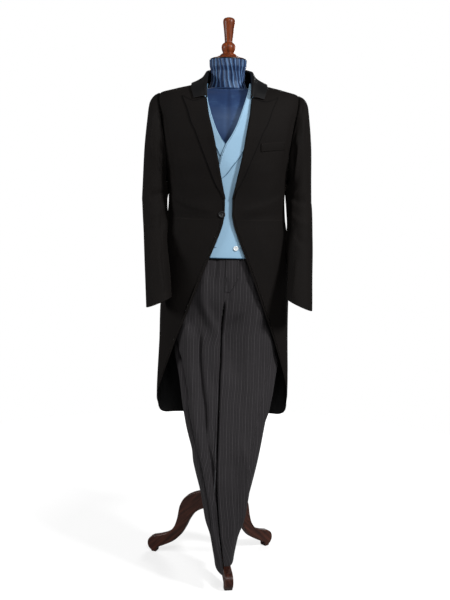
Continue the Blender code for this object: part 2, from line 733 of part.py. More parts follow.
def build_skirts(cloth):
    """Each skirt hangs from the waist seam. Its front edge sweeps back to a rounded corner."""
    fall = np.linspace(0, 1, 12) ** 0.92
    top = WAIST - SEAM / 2
    for side in (-1, 1):
        corner = SKIRT_HEM["z"][1]
        edge = coat_edge(side, top + fall * (corner - top))
        angle = between(edge, np.full(len(fall), BACK_SEAM - 0.06), 10)
        z = top + fall[:, None] * (read(SKIRT_HEM, "z", angle) - top)
        coat_wall(f"coat_skirt_{NAMES[side]}", side * angle, z, 0.0, COAT_CLOTH, cloth)


def build_sleeves(cloth):
    """Each sleeve is a tube of two pieces, joined in front and behind."""
    row = np.array([0, 0.5, 1, 1.5, 2, 3, 4, 5, 6, 7, 8, 9.0])
    for side in (-1, 1):
        spans = {"top": (-HINDARM_SEAM, FOREARM_SEAM, 12), "under": (FOREARM_SEAM, 360 - HINDARM_SEAM, 8)}
        for piece, (first, last, count) in spans.items():
            turn = np.linspace(first + 0.25, last - 0.25, count)[None, :]
            outer = sleeve(side, turn, row[:, None])
            inner = sleeve(side, turn, row[:, None], -COAT_CLOTH)
            wall(f"{piece}_sleeve_{NAMES[side]}", outer, inner, cloth)


def build_lapels(cloth):
    """Each peaked lapel lies on its front, from the roll to its outer edge."""
    across = np.linspace(0, 1, 5)[None, :]
    low = LAPEL_EDGE["z"][0]
    shared = body_rows(1.433)
    rows = np.concatenate([[low], shared[shared > low + 0.004]])[:, None]
    z = np.concatenate([rows + 0 * across, read(LAPEL_TOP, "z", across)])
    for side in (-1, 1):
        edge = coat_edge(side, z)
        outer = np.maximum(read(LAPEL_EDGE, "angle", z) + side * OPENING_TURN / 2, edge + 0.8)
        angle = side * (edge * (1 - across) + outer * across)
        name = f"coat_lapel_{NAMES[side]}"
        coat_wall(name, angle, z, LAYER + COAT_CLOTH, COAT_CLOTH, cloth)


def collar_line(columns, along):
    """A curve of the collar, from the gorge at -1 round the back at 0 to the other gorge at 1."""
    at = 1 - np.abs(along)
    line = [read(COLLAR, column, at) for column in columns]
    line[0] = np.sign(along) * line[0]
    return np.stack(line, -1)


def build_collar(cloth):
    """The stand rises from the neck seam, folds over and falls on the shoulders."""
    along = np.linspace(-1, 1, 19)
    base = collar_line(("base_x", "base_y", "base_z"), along)
    fold = collar_line(("fold_x", "fold_y", "fold_z"), along)
    plan = collar_line(("edge_x", "edge_y"), along)
    lift = SEAM + COAT_CLOTH + 0.0016
    edge = np.concatenate([plan, (height_at(plan[:, 0], plan[:, 1]) + lift)[:, None]], 1)
    away = edge - fold
    away[:, 2] = 0
    away = unit(away)
    middle = fold - (0, 0, COLLAR_FOLD)
    grid = [base, base * 0.5 + (middle - COLLAR_FOLD * away) * 0.5]
    for turn in np.radians([180, 135, 90, 45, 10]):
        grid.append(middle + COLLAR_FOLD * (math.cos(turn) * away + (0, 0, math.sin(turn))))
    bend = fold + COLLAR_BEND * away
    level = (COLLAR_BEND / np.linalg.norm((edge - fold)[:, :2], axis=-1))[:, None]
    line = fold * (1 - level) + edge * level
    lying = height_at(bend[:, 0], bend[:, 1]) + lift
    straight = read(COLLAR, "straight", 1 - np.abs(along))
    bend[:, 2] = lying + straight * np.maximum(line[:, 2] - lying, 0)
    half_way = (bend + edge) / 2
    lying = height_at(half_way[:, 0], half_way[:, 1]) + lift
    half_way[:, 2] = lying + straight * np.maximum(half_way[:, 2] - lying, 0)
    grid += [bend, half_way, edge]
    grid = np.stack(grid, 1)
    run = np.gradient(grid, axis=0)
    across = np.gradient(grid, axis=1)
    normal = unit(np.cross(across, run))
    wall("coat_collar", grid, grid - COLLAR_CLOTH * normal, cloth)


def build_welt(cloth):
    """The breast pocket's welt, slanting up towards the arm, on the +X front."""
    across = np.linspace(0, 1, 5)[None, :]
    up = np.linspace(0, 1, 3)[:, None]
    z = 1.2965 + 0.008 * across + 0.0225 * up
    angle = angle_at(0.0960 + 0.0700 * across + 0 * up, z)
    coat_wall("breast_welt", angle, z, LAYER + 0.0016, 0.0016, cloth)


def build_coat_buttons(horn):
    place = lambda angle, z, out: coat(angle, z, out)
    z = 1.1134
    angle = -float(coat_edge(-1, z)) - 2.3
    spots = {"coat_button": (angle, z)}
    for side in (-1, 1):
        spots[f"back_button_{NAMES[side]}"] = (side * (BACK_SEAM + 5.0), WAIST + 0.008)
    for name, (angle, z) in spots.items():
        button(name, place(angle, z, SEAM), surface_normal(place, angle, z), **COAT_BUTTON, material=horn)
    for side in (-1, 1):
        on_sleeve = lambda turn, row, out, side=side: sleeve(side, turn, row, out)
        rows = np.linspace(7, 9, 400)
        heights = on_sleeve(CUFF_BUTTON_TURN, rows, 0.0)[:, 2]
        for number, height in enumerate(CUFF_BUTTON_HEIGHTS, 1):
            row = float(rows[np.abs(heights - height).argmin()])
            centre = on_sleeve(CUFF_BUTTON_TURN, row, SEAM)
            normal = surface_normal(on_sleeve, CUFF_BUTTON_TURN, row)
            button(f"cuff_button_{NAMES[side]}_{number}", centre, normal, **CUFF_BUTTON, material=horn)


# ---------------------------------------------------------------- the waistcoat


def waistcoat_edge(side, z):
    """Distance of a front's inner edge from the middle, towards its own side."""
    if side > 0:
        return read(WAISTCOAT_LAP, "x", z)
    return read(WAISTCOAT_UNDERLAP, "x", z)


def waistcoat_rows():
    return rows_between(WAISTCOAT_HEM, 1.500, 13)


def build_waistcoat_fronts(cloth):
    z = waistcoat_rows()
    outer = read(WAISTCOAT_ARMHOLE, "front", z)
    for side in (-1, 1):
        angle = between(angle_at(waistcoat_edge(side, z), z), np.minimum(outer, 89.9), 11)
        depth = WAISTCOAT_DEPTH[side]
        name = f"waistcoat_front_{NAMES[side]}"
        coat_wall(name, side * angle, z[:, None] + 0 * angle, -depth, WAISTCOAT_CLOTH, cloth)


def build_waistcoat_lapels(cloth):
    """The waistcoat's lapels lie along the neckline of each front."""
    for side in (-1, 1):
        shape = WAISTCOAT_LAPEL[side]
        low = shape["z"][0]
        shared = waistcoat_rows()
        z = np.concatenate([[low], (low + shared[shared > low][:1]) / 2, shared[shared > low]])
        inner = waistcoat_edge(side, z)
        if side < 0:
            inner = np.maximum(inner, 0.0012 - read(WAISTCOAT_LAP, "x", z))
        x = between(inner, np.maximum(read(shape, "x", z), inner + 0.003), 4)
        angle = side * angle_at(x, z[:, None] + 0 * x)
        out = -WAISTCOAT_DEPTH[side] + LAYER + WAISTCOAT_CLOTH
        name = f"waistcoat_lapel_{NAMES[side]}"
        coat_wall(name, angle, z[:, None] + 0 * x, out, WAISTCOAT_CLOTH, cloth)


def build_waistcoat_back(lining):
    z = rows_between(WAISTCOAT_HEM, 1.500, 11)
    outer = np.maximum(read(WAISTCOAT_ARMHOLE, "back", z), 90.1)
    angle = between(outer, 360 - outer, 13)
    out = -WAISTCOAT_DEPTH[-1]
    coat_wall("waistcoat_back", angle, z[:, None] + 0 * angle, out, WAISTCOAT_CLOTH, lining)


def build_waistcoat_buttons(pearl):
    place = lambda angle, z, out: coat(angle, z, out)
    for side in (-1, 1):
        for number, z in enumerate(WAISTCOAT_BUTTON_ROWS, 1):
            angle = float(angle_at(WAISTCOAT_BUTTON_X[side], z))
            out = -WAISTCOAT_DEPTH[1] + (SEAM if number == 1 else LAYER)
            name = f"waistcoat_button_{NAMES[side]}_{number}"
            centre, normal = place(angle, z, out), surface_normal(place, angle, z)
            button(name, centre, normal, **WAISTCOAT_BUTTON, material=pearl)


# ---------------------------------------------------------------- the trousers


def trouser_wall(name, side, face, share, z, out, thickness, cloth):
    outer = trouser(side, face, share, z, out)
    inner = trouser(side, face, share, z, out - thickness)
    return wall(name, outer, inner, cloth)


def trouser_rows(side, share):
    """Heights down a panel: the hem slants, and the rows are closer at the crotch."""
    down = np.concatenate([[0, 0.08, 0.15], np.linspace(0.19, 0.34, 5), np.linspace(0.42, 1, 7)])
    top = TROUSER_TOP - WAISTBAND - SEAM
    hem = TROUSER_HEM[side] + HEM_SLANT[side] * share
    return top + down[:, None] * (hem - top)


def build_trousers(cloth):
    """Two fronts and two backs. The seat seam stands open where the stand's pole leaves the trousers."""
    share = 0.0015 + 0.997 * np.linspace(0, 1, 9)[None, :] ** 1.2
    for side in (-1, 1):
        z = trouser_rows(side, share)
        for face, word in ((-1, "front"), (1, "back")):
            trouser_wall(f"trouser_{word}_{NAMES[side]}", side, face, share, z, 0.0, TROUSER_CLOTH, cloth)


def build_waistband(cloth):
    turn = np.linspace(0, 360, 28, endpoint=False)
    z = np.array([TROUSER_TOP, TROUSER_TOP - WAISTBAND / 2, TROUSER_TOP - WAISTBAND])[:, None]

    def band(inset):
        across, ahead = rounded(np.sin(np.radians(turn)), np.cos(np.radians(turn)), FIGURE_POWER)
        depth = np.where(ahead > 0, read(HIP, "front", z), read(HIP, "back", z)) - inset
        x = (read(HIP, "half_width", z) - inset) * across + STAND_X * np.maximum(-ahead, 0)
        return np.stack([x, -depth * ahead, z + 0 * x], -1)

    wall("trouser_waistband", band(0.0), band(TROUSER_CLOTH), cloth, ring=True)


def build_fly(cloth):
    """The lap that covers the fly, on the +X front."""
    z = np.linspace(FLY["top"], FLY["bottom"], 6)[:, None]
    width = FLY["width"] * np.sqrt(np.clip((z - FLY["bottom"] + 0.006) / 0.05, 0.12, 1))
    share = 0.004 + np.linspace(0, 1, 4)[None, :] * width / 0.24
    trouser_wall("trouser_fly", 1, -1, share, z + 0 * share, SEAM + 0.0010, 0.0010, cloth)


# ---------------------------------------------------------------- the form and its stand


def build_torso(satin):
    """The form fills the suit, inside the waistcoat and the trousers, and ends at the armholes."""
    angle = np.linspace(0, 360, 36, endpoint=False)[None, :]
    hip_z = np.array([FORM_BOTTOM, FORM_BOTTOM + 0.012, 0.93, 1.0, 1.056])[:, None]
    across, ahead = rounded(np.sin(np.radians(angle)), np.cos(np.radians(angle)), FIGURE_POWER)
    inset = FORM_HIP_DEPTH + 0.012 * ease(1 - (hip_z - FORM_BOTTOM) / 0.012)
    depth = np.where(ahead > 0, read(HIP, "front", hip_z), read(HIP, "back", hip_z)) - inset
    hips = np.stack(
        [(read(HIP, "half_width", hip_z) - inset) * across, -depth * ahead, hip_z + 0 * across], -1
    )
    z = rows_between(1.09, 1.495, 14)[:, None]
    upper = coat(angle, z + 0 * angle, -FORM_DEPTH)
    side = np.abs(upper[..., 0])
    limit = FORM_ARMPLATE
    soft = limit * np.tanh((side / limit) ** 3) ** (1 / 3)
    narrowed = np.where(z > 1.16, soft, side)
    upper[..., 0] = np.sign(upper[..., 0]) * narrowed
    turn = np.radians(angle)
    x = NECK_X + NECK["half_width"][0] * np.sin(turn)
    y = NECK["centre_y"][0] - NECK["half_depth"][0] * np.cos(turn)
    top = np.stack([x, y, NECK["z"][0] - SEAM + 0 * x], -1)
    loft("form_torso", np.concatenate([hips, upper, top]), satin)


def build_neck(satin, black, wood):
    turn = np.linspace(0, 2 * math.pi, 28, endpoint=False)[None, :]
    z = NECK["z"][:, None]
    x = NECK_X + NECK["half_width"][:, None] * np.sin(turn)
    y = NECK["centre_y"][:, None] - NECK["half_depth"][:, None] * np.cos(turn)
    loft("form_neck", np.stack([x, y, z + 0 * x], -1), satin)
    turned("form_cap", CAP, (NECK_X, 0.0), black, 32)
    turned("finial", FINIAL, (NECK_X, 0.0), wood, 20)


def stand_leg_outline():
    """The board's outline: out along the top, round the toe, along the flat sole and back below."""
    out_top = np.linspace(STAND_LEG_TOP["out"][0], STAND_LEG_TOP["out"][-1], 17)
    top = np.stack([out_top, read(STAND_LEG_TOP, "z", out_top)], -1)
    toe_turn = np.radians([70, 45, 20, -5, -30, -55])
    toe = np.stack([FOOT_REACH - 0.0235 + 0.0235 * np.cos(toe_turn), 0.0270 + 0.0250 * np.sin(toe_turn)], -1)
    sole = np.array([(0.2200, 0.0), (0.2060, 0.0)])
    out_under = np.linspace(STAND_LEG_UNDER["out"][-1], STAND_LEG_UNDER["out"][0], 13)
    under = np.stack([out_under, read(STAND_LEG_UNDER, "z", out_under)], -1)
    return np.concatenate([top, toe, sole, under])


def build_stand(wood, iron):
    axis = (STAND_X, STAND_Y)
    turned("stand_hub", HUB, axis, wood, 24)
    low, high = HUB[-1][1] + SEAM, FORM_BOTTOM - SEAM
    pole = ((0.0, low), (POLE_RADIUS, low), (POLE_RADIUS, high), (0.0, high))
    turned("stand_pole", pole, axis, iron, 20)
    outline = stand_leg_outline()
    count = len(outline)
    half = STAND_LEG_WIDTH / 2
    inset = np.array([(-half, 0.0030), (-half + 0.0030, 0.0), (half - 0.0030, 0.0), (half, 0.0030)])
    ahead = np.roll(outline, -1, axis=0) - np.roll(outline, 1, axis=0)
    inward = unit(np.stack([ahead[:, 1], -ahead[:, 0]], -1))
    inward[outline[:, 1] == 0] = (0.0, 0.45)
    inward[[0, -1]] = ((0.0, -1.0), (0.0, 1.0))
    for number, turn in enumerate(STAND_LEG_TURNS, 1):
        run = np.array((math.cos(math.radians(turn)), math.sin(math.radians(turn))))
        side = np.array((-run[1], run[0]))
        rings = []
        for across, shrink in inset:
            flat = outline + inward * shrink
            plan = np.array(axis) + flat[:, :1] * run + across * side
            rings.append(np.concatenate([plan, flat[:, 1:]], 1))
        loft(f"stand_leg_{number}", np.stack(rings), wood)
    return count


def stand_on_origin():
    """Moves everything so that the middle of the plan lies at the origin."""
    objects = [o for o in bpy.context.scene.objects if o.type == "MESH"]
    points = np.concatenate([np.array([v.co for v in o.data.vertices]) for o in objects])
    low, high = points.min(0), points.max(0)
    shift = bpy.data.objects.new("suit_and_stand", None)
    bpy.context.scene.collection.objects.link(shift)
    shift.location = (-(low[0] + high[0]) / 2, -(low[1] + high[1]) / 2, -low[2])
    for obj in objects:
        obj.parent = shift


def main():
    for obj in list(bpy.data.objects):
        bpy.data.objects.remove(obj)
    black_cloth = material("black_wool", (0.012, 0.011, 0.013), 0.85)
    blue_cloth = material("pale_blue_wool", (0.33, 0.55, 0.72), 0.75)
    blue_lining = material("pale_blue_lining", (0.30, 0.48, 0.62), 0.45)
    striped_cloth = material("striped_wool", (0.050, 0.048, 0.052), 0.85)
    satin = material("blue_satin", (0.05, 0.13, 0.33), 0.40)
    black = material("black_paint", (0.01, 0.01, 0.012), 0.35)
    wood = material("dark_wood", (0.12, 0.035, 0.018), 0.30)
    iron = material("black_iron", (0.02, 0.02, 0.02), 0.45)
    horn = material("black_horn", (0.015, 0.013, 0.013), 0.30)
    pearl = material("pearl", (0.80, 0.80, 0.78), 0.25)
    build_fronts(black_cloth)
    build_side_bodies(black_cloth)
    build_backs(black_cloth)
    build_skirts(black_cloth)
    build_sleeves(black_cloth)
    build_lapels(black_cloth)
    build_collar(black_cloth)
    build_welt(black_cloth)
    build_coat_buttons(horn)
    build_waistcoat_fronts(blue_cloth)
    build_waistcoat_lapels(blue_cloth)
    build_waistcoat_back(blue_lining)
    build_waistcoat_buttons(pearl)
    build_trousers(striped_cloth)
    build_waistband(striped_cloth)
    build_fly(striped_cloth)
    build_torso(satin)
    build_neck(satin, black, wood)
    build_stand(wood, iron)
    stand_on_origin()


main()
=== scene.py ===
# %% [markdown]
# # A morning suit on its stand
# A tail coat, a double-breasted waistcoat and striped trousers hang on a limbless dress form.
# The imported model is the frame: it gives every piece its place and its size. This script keeps
# that frame and gives each piece its look, a finer mesh with folds and a woven material.

# %% The frame
import math

import bpy
import numpy as np
from mathutils import Matrix, Vector


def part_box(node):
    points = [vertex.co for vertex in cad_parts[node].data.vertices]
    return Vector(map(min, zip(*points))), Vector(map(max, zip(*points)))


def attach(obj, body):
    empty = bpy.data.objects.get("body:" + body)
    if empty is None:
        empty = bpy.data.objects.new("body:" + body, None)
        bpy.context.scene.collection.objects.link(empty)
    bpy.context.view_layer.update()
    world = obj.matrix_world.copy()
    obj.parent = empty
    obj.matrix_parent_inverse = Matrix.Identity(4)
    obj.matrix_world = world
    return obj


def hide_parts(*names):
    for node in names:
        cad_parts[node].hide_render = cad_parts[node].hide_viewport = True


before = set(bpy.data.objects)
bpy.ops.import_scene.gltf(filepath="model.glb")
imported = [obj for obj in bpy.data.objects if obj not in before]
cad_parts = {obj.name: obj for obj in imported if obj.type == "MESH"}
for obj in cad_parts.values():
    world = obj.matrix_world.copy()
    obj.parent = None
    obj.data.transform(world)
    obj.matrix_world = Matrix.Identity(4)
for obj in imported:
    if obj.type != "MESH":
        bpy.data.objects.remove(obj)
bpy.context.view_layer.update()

# %% [markdown]
# ## The sizes
# Cloth on a figure follows the figure, so the suit is measured as a tailor would: half widths and
# depths at a row of heights, and the lines along which the cloth is cut. They are the same numbers
# that the model was made from, which keeps the fine pieces where the plain ones are.
# Metres and degrees are used, z is up, and the angle runs round the figure from the centre front.

# %% Cloth, seams and heights
COAT_CLOTH = 0.002
WAISTCOAT_CLOTH = 0.0016
TROUSER_CLOTH = 0.0016
SEAM = 0.0003  # gap that keeps neighbouring pieces apart
WAIST = 1.098  # height of the coat's waist seam
NECK_TOP = 1.503  # height of the coat's neck seam at the shoulder
FIGURE_POWER = 2.5  # 2 is an ellipse, more is squarer
OPENING_TURN = 2.0  # degrees by which the coat's opening is turned towards +X
OPENING_TOP = 1.47  # the turn begins below this height
BACK_SEAM = 151.0  # angle of the pleat where skirt and back meet
TAIL_END = 0.456

STAND_X = -0.008  # the stand's axis, beside the suit's own middle
STAND_Y = 0.01
NECK_X = -0.005
POLE_RADIUS = 0.0125
FORM_BOTTOM = 0.876
TROUSER_TOP = 1.058
WAISTBAND = 0.038
CROTCH_TOP = 0.87
CROTCH = 0.735
POLE_CLEARANCE = 0.019
LAYER = 0.0007  # gap under a piece that lies on another, where both are curved


def table(names, *rows):
    """Columns by name. The first column only ever rises or falls."""
    return dict(zip(names.split(), np.array(rows, float).T))


# %% The coat's body
# The coat's outer surface: half width at the sides, and depth in front of and behind the middle.
FIGURE = table(
    "z half_width front back",
    (0.44, 0.202, 0.108, 0.13),
    (0.52, 0.201, 0.11, 0.131),
    (0.6, 0.2, 0.114, 0.132),
    (0.7, 0.1965, 0.121, 0.133),
    (0.82, 0.194, 0.127, 0.133),
    (0.93, 0.192, 0.13, 0.13),
    (1.0, 0.1895, 0.13, 0.122),
    (1.05, 0.186, 0.1285, 0.113),
    (1.1, 0.1785, 0.126, 0.106),
    (1.15, 0.1753, 0.126, 0.103),
    (1.21, 0.18, 0.131, 0.112),
    (1.27, 0.1915, 0.136, 0.124),
    (1.33, 0.204, 0.136, 0.132),
    (1.39, 0.211, 0.128, 0.133),
    (1.43, 0.2115, 0.114, 0.127),
    (1.455, 0.209, 0.098, 0.117),
    (1.4653, 0.2055, 0.088, 0.111),
    (1.4795, 0.16, 0.074, 0.102),
    (1.4925, 0.109, 0.058, 0.09),
    (1.5107, 0.076, 0.044, 0.076),
)
FLUTE_RISE = 0.35  # metres over which a flute grows to its full depth
# Soft flutes of the skirts: how deep they stand out, and the height where they begin.
FLUTES = table(
    "angle width depth top",
    (-138, 13, 0.006, 1.02),
    (-112, 11, 0.003, 0.9),
    (-74, 15, 0.004, 0.95),
    (70, 14, 0.004, 0.93),
    (108, 12, 0.004, 0.94),
    (136, 12, 0.006, 1.0),
)
# The coat's front edge, from the tail up the cutaway, round the button and up the roll to the neck.
COAT_EDGE = table(
    "z angle",
    (0.5, 104.0), (0.52, 88.0), (0.545, 77.0), (0.58, 67.0), (0.62, 60.0), (0.687, 50.5),
    (0.735, 44.6), (0.804, 35.7), (0.864, 29.1), (0.93, 22.0), (0.985, 15.9), (1.01, 13.0),
    (1.046, 8.9), (1.089, 4.9), (1.12, 3.7), (1.147, 3.7), (1.184, 6.0), (1.237, 9.2), (1.298, 12.1),
    (1.355, 14.4), (1.395, 16.5), (1.447, 18.6), (1.476, 25.0), (1.492, 38.0), (1.503, 56.0),
)
LAPEL_EDGE = table(
    "z angle",
    (1.158, 4.6), (1.171, 6.2), (1.204, 12.3), (1.269, 19.4), (1.328, 24.8), (1.352, 26.9),
    (1.374, 29.7), (1.418, 33.6), (1.454, 38.6),
)
LAPEL_TOP = table("across z", (0.0, 1.448), (0.55, 1.4385), (0.8, 1.444), (1.0, 1.4535))
SKIRT_HEM = table(
    "angle z", (90, 0.508), (104, 0.498), (115, 0.478), (126, 0.468), (150, 0.461), (180, TAIL_END)
)
SIDE_BODY_SEAM = table("z angle", (WAIST, BACK_SEAM), (1.17, 145), (1.24, 135), (1.3, 126), (1.34, 121))
SIDE_BODY_TIP = 1.335
ARMHOLE = dict(middle=1.3375, half_height=0.1275, front=29.0, back=31.0)
ARMHOLE_BOTTOM = ARMHOLE["middle"] - ARMHOLE["half_height"]
ARMHOLE_TOP = ARMHOLE["middle"] + ARMHOLE["half_height"]
SEAM_ANGLE = 0.06  # degrees left free on each side of an upright seam
print("coat, from tail to neck:", NECK_TOP - TAIL_END, "m")

# %% The sleeves and the collar
# One sleeve: the outer and inner ends of each ring, its middle and half its depth. The first is the seam.
SLEEVE = table(
    "row outer_x outer_z inner_x inner_z centre_y half_depth",
    (0, 0.213, 1.464, 0.178, 1.209, 0.0, 0.075),
    (1, 0.226, 1.46, 0.1815, 1.206, 0.0, 0.077),
    (2, 0.237, 1.436, 0.183, 1.203, 0.0, 0.08),
    (3, 0.244, 1.385, 0.1845, 1.2, 0.0, 0.081),
    (4, 0.251, 1.3, 0.1845, 1.188, 0.0, 0.079),
    (5, 0.2545, 1.205, 0.1825, 1.16, -0.004, 0.076),
    (6, 0.256, 1.115, 0.181, 1.105, -0.018, 0.072),
    (7, 0.253, 1.035, 0.18, 1.035, -0.048, 0.067),
    (8, 0.248, 0.935, 0.1745, 0.945, -0.09, 0.06),
    (9, 0.244, 0.838, 0.169, 0.87, -0.126, 0.052),
)
SLEEVE_SWING = {-1: 0.0145, 1: 0.0155}  # how far the cuff hangs towards +X
SLEEVE_REST = 0.0032  # gap where a sleeve leans on the coat's flank
SLEEVE_POWER = 2.2
ELBOW = dict(z=1.15, to_cuff=0.31)  # the sleeve swings from here to the cuff
FOREARM_SEAM = 126.0  # round the sleeve, from its outer side by the front
HINDARM_SEAM = 82.0  # round the sleeve, from its outer side by the back

# The collar, from the gorge in front to the middle of the back.
COLLAR = table(
    "along base_x base_y base_z fold_x fold_y fold_z edge_x edge_y straight",
    (0.0, 0.066, -0.1, 1.448, 0.068, -0.103, 1.4535, 0.102, -0.1, 1.0),
    (0.22, 0.069, -0.072, 1.478, 0.0695, -0.0745, 1.49, 0.111, -0.068, 0.3),
    (0.46, 0.073, -0.005, 1.508, 0.0665, -0.006, 1.53, 0.111, -0.005, 0.1),
    (0.66, 0.058, 0.048, 1.511, 0.0545, 0.045, 1.541, 0.093, 0.059, 0.5),
    (0.84, 0.029, 0.069, 1.512, 0.0275, 0.064, 1.5475, 0.05, 0.096, 0.8),
    (1.0, 0.0, 0.0745, 1.512, 0.0, 0.069, 1.55, 0.0, 0.106, 0.8),
    (1.16, -0.029, 0.069, 1.512, -0.0275, 0.064, 1.5475, -0.05, 0.096, 0.8),
)
COLLAR_FOLD = 0.0036  # radius of the collar's fold
COLLAR_BEND = 0.0125  # from the fold to where the collar lies down on the shoulder
COLLAR_CLOTH = 0.002
print("sleeve, shoulder to cuff:", round(SLEEVE["outer_z"][0] - SLEEVE["outer_z"][-1], 3), "m in height")

# %% The waistcoat
# The waistcoat lies inside the coat's surface by these depths. The +X front laps over the other.
WAISTCOAT_DEPTH = {1: 0.0078, -1: 0.0104}
WAISTCOAT_HEM = 0.985
WAISTCOAT_LAP = table(
    "z x",
    (0.985, -0.05), (1.05, -0.049), (1.12, -0.047), (1.2, -0.04), (1.24, -0.029),
    (1.262, -0.0215), (1.284, -0.0178), (1.314, -0.0058), (1.343, 0.0117), (1.375, 0.0265),
    (1.423, 0.0422), (1.459, 0.0525), (1.485, 0.059), (1.51, 0.064),
)
WAISTCOAT_UNDERLAP = table(
    "z x",
    (0.985, -0.044), (1.2, -0.038), (1.25, -0.026), (1.29, -0.008), (1.314, 0.0058),
    (1.346, 0.0287), (1.381, 0.0436), (1.413, 0.054), (1.456, 0.064), (1.485, 0.066),
    (1.51, 0.068),
)
WAISTCOAT_ARMHOLE = table(
    "z front back",
    (1.15, 90, 90),
    (1.18, 72, 104),
    (1.23, 53, 118),
    (1.31, 41, 128),
    (1.4, 37, 132),
    (1.45, 38, 130),
    (1.475, 43, 124),
    (1.485, 54, 112),
    (1.492, 89.7, 90.3),
    (1.512, 89.7, 90.3),
)
# The waistcoat lapel's outer edge, and where it ends on each front.
WAISTCOAT_LAPEL = {
    1: table("z x", (1.209, -0.0395), (1.214, -0.02), (1.2255, -0.004), (1.248, 0.0131), (1.288, 0.0418),
             (1.34, 0.064), (1.4, 0.08), (1.455, 0.09), (1.492, 0.092), (1.51, 0.085)),
    -1: table("z x", (1.283, 0.023), (1.3, 0.031), (1.32, 0.043), (1.35, 0.06), (1.4, 0.079),
              (1.455, 0.09), (1.492, 0.092), (1.51, 0.085)),
}
WAISTCOAT_BUTTON = dict(radius=0.0072, height=0.0026)
WAISTCOAT_BUTTON_ROWS = (1.015, 1.08, 1.14)
WAISTCOAT_BUTTON_X = {1: 0.0307, -1: -0.0425}
print("waistcoat buttons in a column:", len(WAISTCOAT_BUTTON_ROWS))

# %% The trousers
HIP = table(
    "z half_width front back",
    (0.7, 0.15, 0.112, 0.1),
    (0.82, 0.168, 0.117, 0.104),
    (0.93, 0.172, 0.116, 0.106),
    (1.0, 0.169, 0.114, 0.101),
    (1.06, 0.163, 0.11, 0.092),
)
# Each leg: its outer and inner sides, the line of its inseam and its depth before and behind that line.
# Behind tuck_from the inner side is tucked in, so that the legs hang on both sides of the stand.
LEG = {
    -1: table(
        "z outer_x inner_x centre_y front back tuck tuck_from",
        (0.054, -0.01, 0.0165, -0.15, 0.092, 0.08, 0.013, -0.186),
        (0.081, -0.012, 0.0145, -0.149, 0.092, 0.082, 0.013, -0.16),
        (0.141, -0.0225, 0.0055, -0.146, 0.092, 0.085, 0.01, -0.136),
        (0.2, -0.037, -0.001, -0.14, 0.092, 0.088, 0.0105, -0.112),
        (0.262, -0.048, -0.007, -0.13, 0.094, 0.092, 0.006, -0.07),
        (0.391, -0.084, -0.011, -0.1, 0.098, 0.098, 0.0, -0.02),
        (0.51, -0.116, -0.0095, -0.064, 0.098, 0.112, 0.0, -0.02),
        (0.608, -0.132, -0.009, -0.038, 0.096, 0.118, 0.0, -0.02),
        (0.683, -0.147, -0.0086, -0.022, 0.094, 0.12, 0.0, -0.02),
        (0.78, -0.156, -0.0085, -0.014, 0.092, 0.122, 0.0, -0.02),
    ),
    1: table(
        "z outer_x inner_x centre_y front back tuck tuck_from",
        (0.054, 0.045, 0.02, -0.158, 0.09, 0.078, 0.016, -0.186),
        (0.081, 0.0455, 0.018, -0.157, 0.09, 0.08, 0.0165, -0.16),
        (0.141, 0.054, 0.0085, -0.15, 0.09, 0.084, 0.023, -0.136),
        (0.2, 0.068, 0.002, -0.142, 0.092, 0.088, 0.025, -0.112),
        (0.262, 0.083, -0.004, -0.131, 0.094, 0.092, 0.0135, -0.08),
        (0.391, 0.115, -0.0095, -0.1, 0.099, 0.098, 0.0, -0.02),
        (0.51, 0.139, -0.008, -0.064, 0.099, 0.112, 0.0, -0.02),
        (0.608, 0.155, -0.0075, -0.038, 0.097, 0.118, 0.0, -0.02),
        (0.683, 0.162, -0.0071, -0.022, 0.095, 0.12, 0.0, -0.02),
        (0.78, 0.162, -0.007, -0.014, 0.092, 0.122, 0.0, -0.02),
    ),
}
LEG_POWER = 2.3
LEG_SQUARE = 22.0  # the legs' fronts are squarer where they lie side by side
INNER_SHARE = 0.02  # the part of a front panel that faces the other leg
TROUSER_HEM = {-1: 0.06, 1: 0.092}
HEM_SLANT = {-1: 0.034, 1: 0.004}  # rise of the hem from the inner to the outer side
FLY = dict(width=0.034, top=1.018, bottom=0.884)
print("fly:", round(FLY["top"] - FLY["bottom"], 3), "m long")

# %% The form and the stand
# The form inside: heights and half sizes of its sections, and of its neck.
FORM_ARMPLATE = 0.166  # the form ends here at the arms
FORM_DEPTH = 0.0225  # inside the coat's surface
FORM_HIP_DEPTH = 0.0085  # inside the trousers' surface
NECK = table(
    "z half_width half_depth centre_y",
    (1.483, 0.058, 0.053, 0.004),
    (1.505, 0.051, 0.05, 0.003),
    (1.53, 0.0505, 0.05, 0.001),
    (1.548, 0.055, 0.053, 0.0),
    (1.566, 0.056, 0.053, 0.0),
)
# Profiles for the lathe: radius and height, from the bottom to the top.
CAP_RIM = [
    (0.047, 1.5663), (0.05, 1.5664), (0.0508, 1.5676), (0.0506, 1.569), (0.049, 1.5697),
    (0.006, 1.5698),
]
CAP_DOME = [
    (0.006, 1.5699), (0.047, 1.5699), (0.0486, 1.5703), (0.0487, 1.571), (0.047, 1.5717),
    (0.042, 1.5728), (0.036, 1.5744), (0.031, 1.5762), (0.028, 1.5774), (0.006, 1.5782),
]
FINIAL = [
    (0.02, 1.5785), (0.0236, 1.5785), (0.0247, 1.5793), (0.0246, 1.5806), (0.0232, 1.5815),
    (0.0228, 1.5824), (0.0172, 1.5862), (0.0168, 1.5885), (0.0188, 1.5935), (0.0203, 1.599),
    (0.0207, 1.6035), (0.0199, 1.609), (0.0165, 1.614), (0.0122, 1.6172), (0.0115, 1.62),
    (0.0124, 1.631), (0.0146, 1.652), (0.017, 1.67), (0.0177, 1.677), (0.0168, 1.683),
    (0.0132, 1.6872), (0.007, 1.6895), (0.004, 1.69),
]
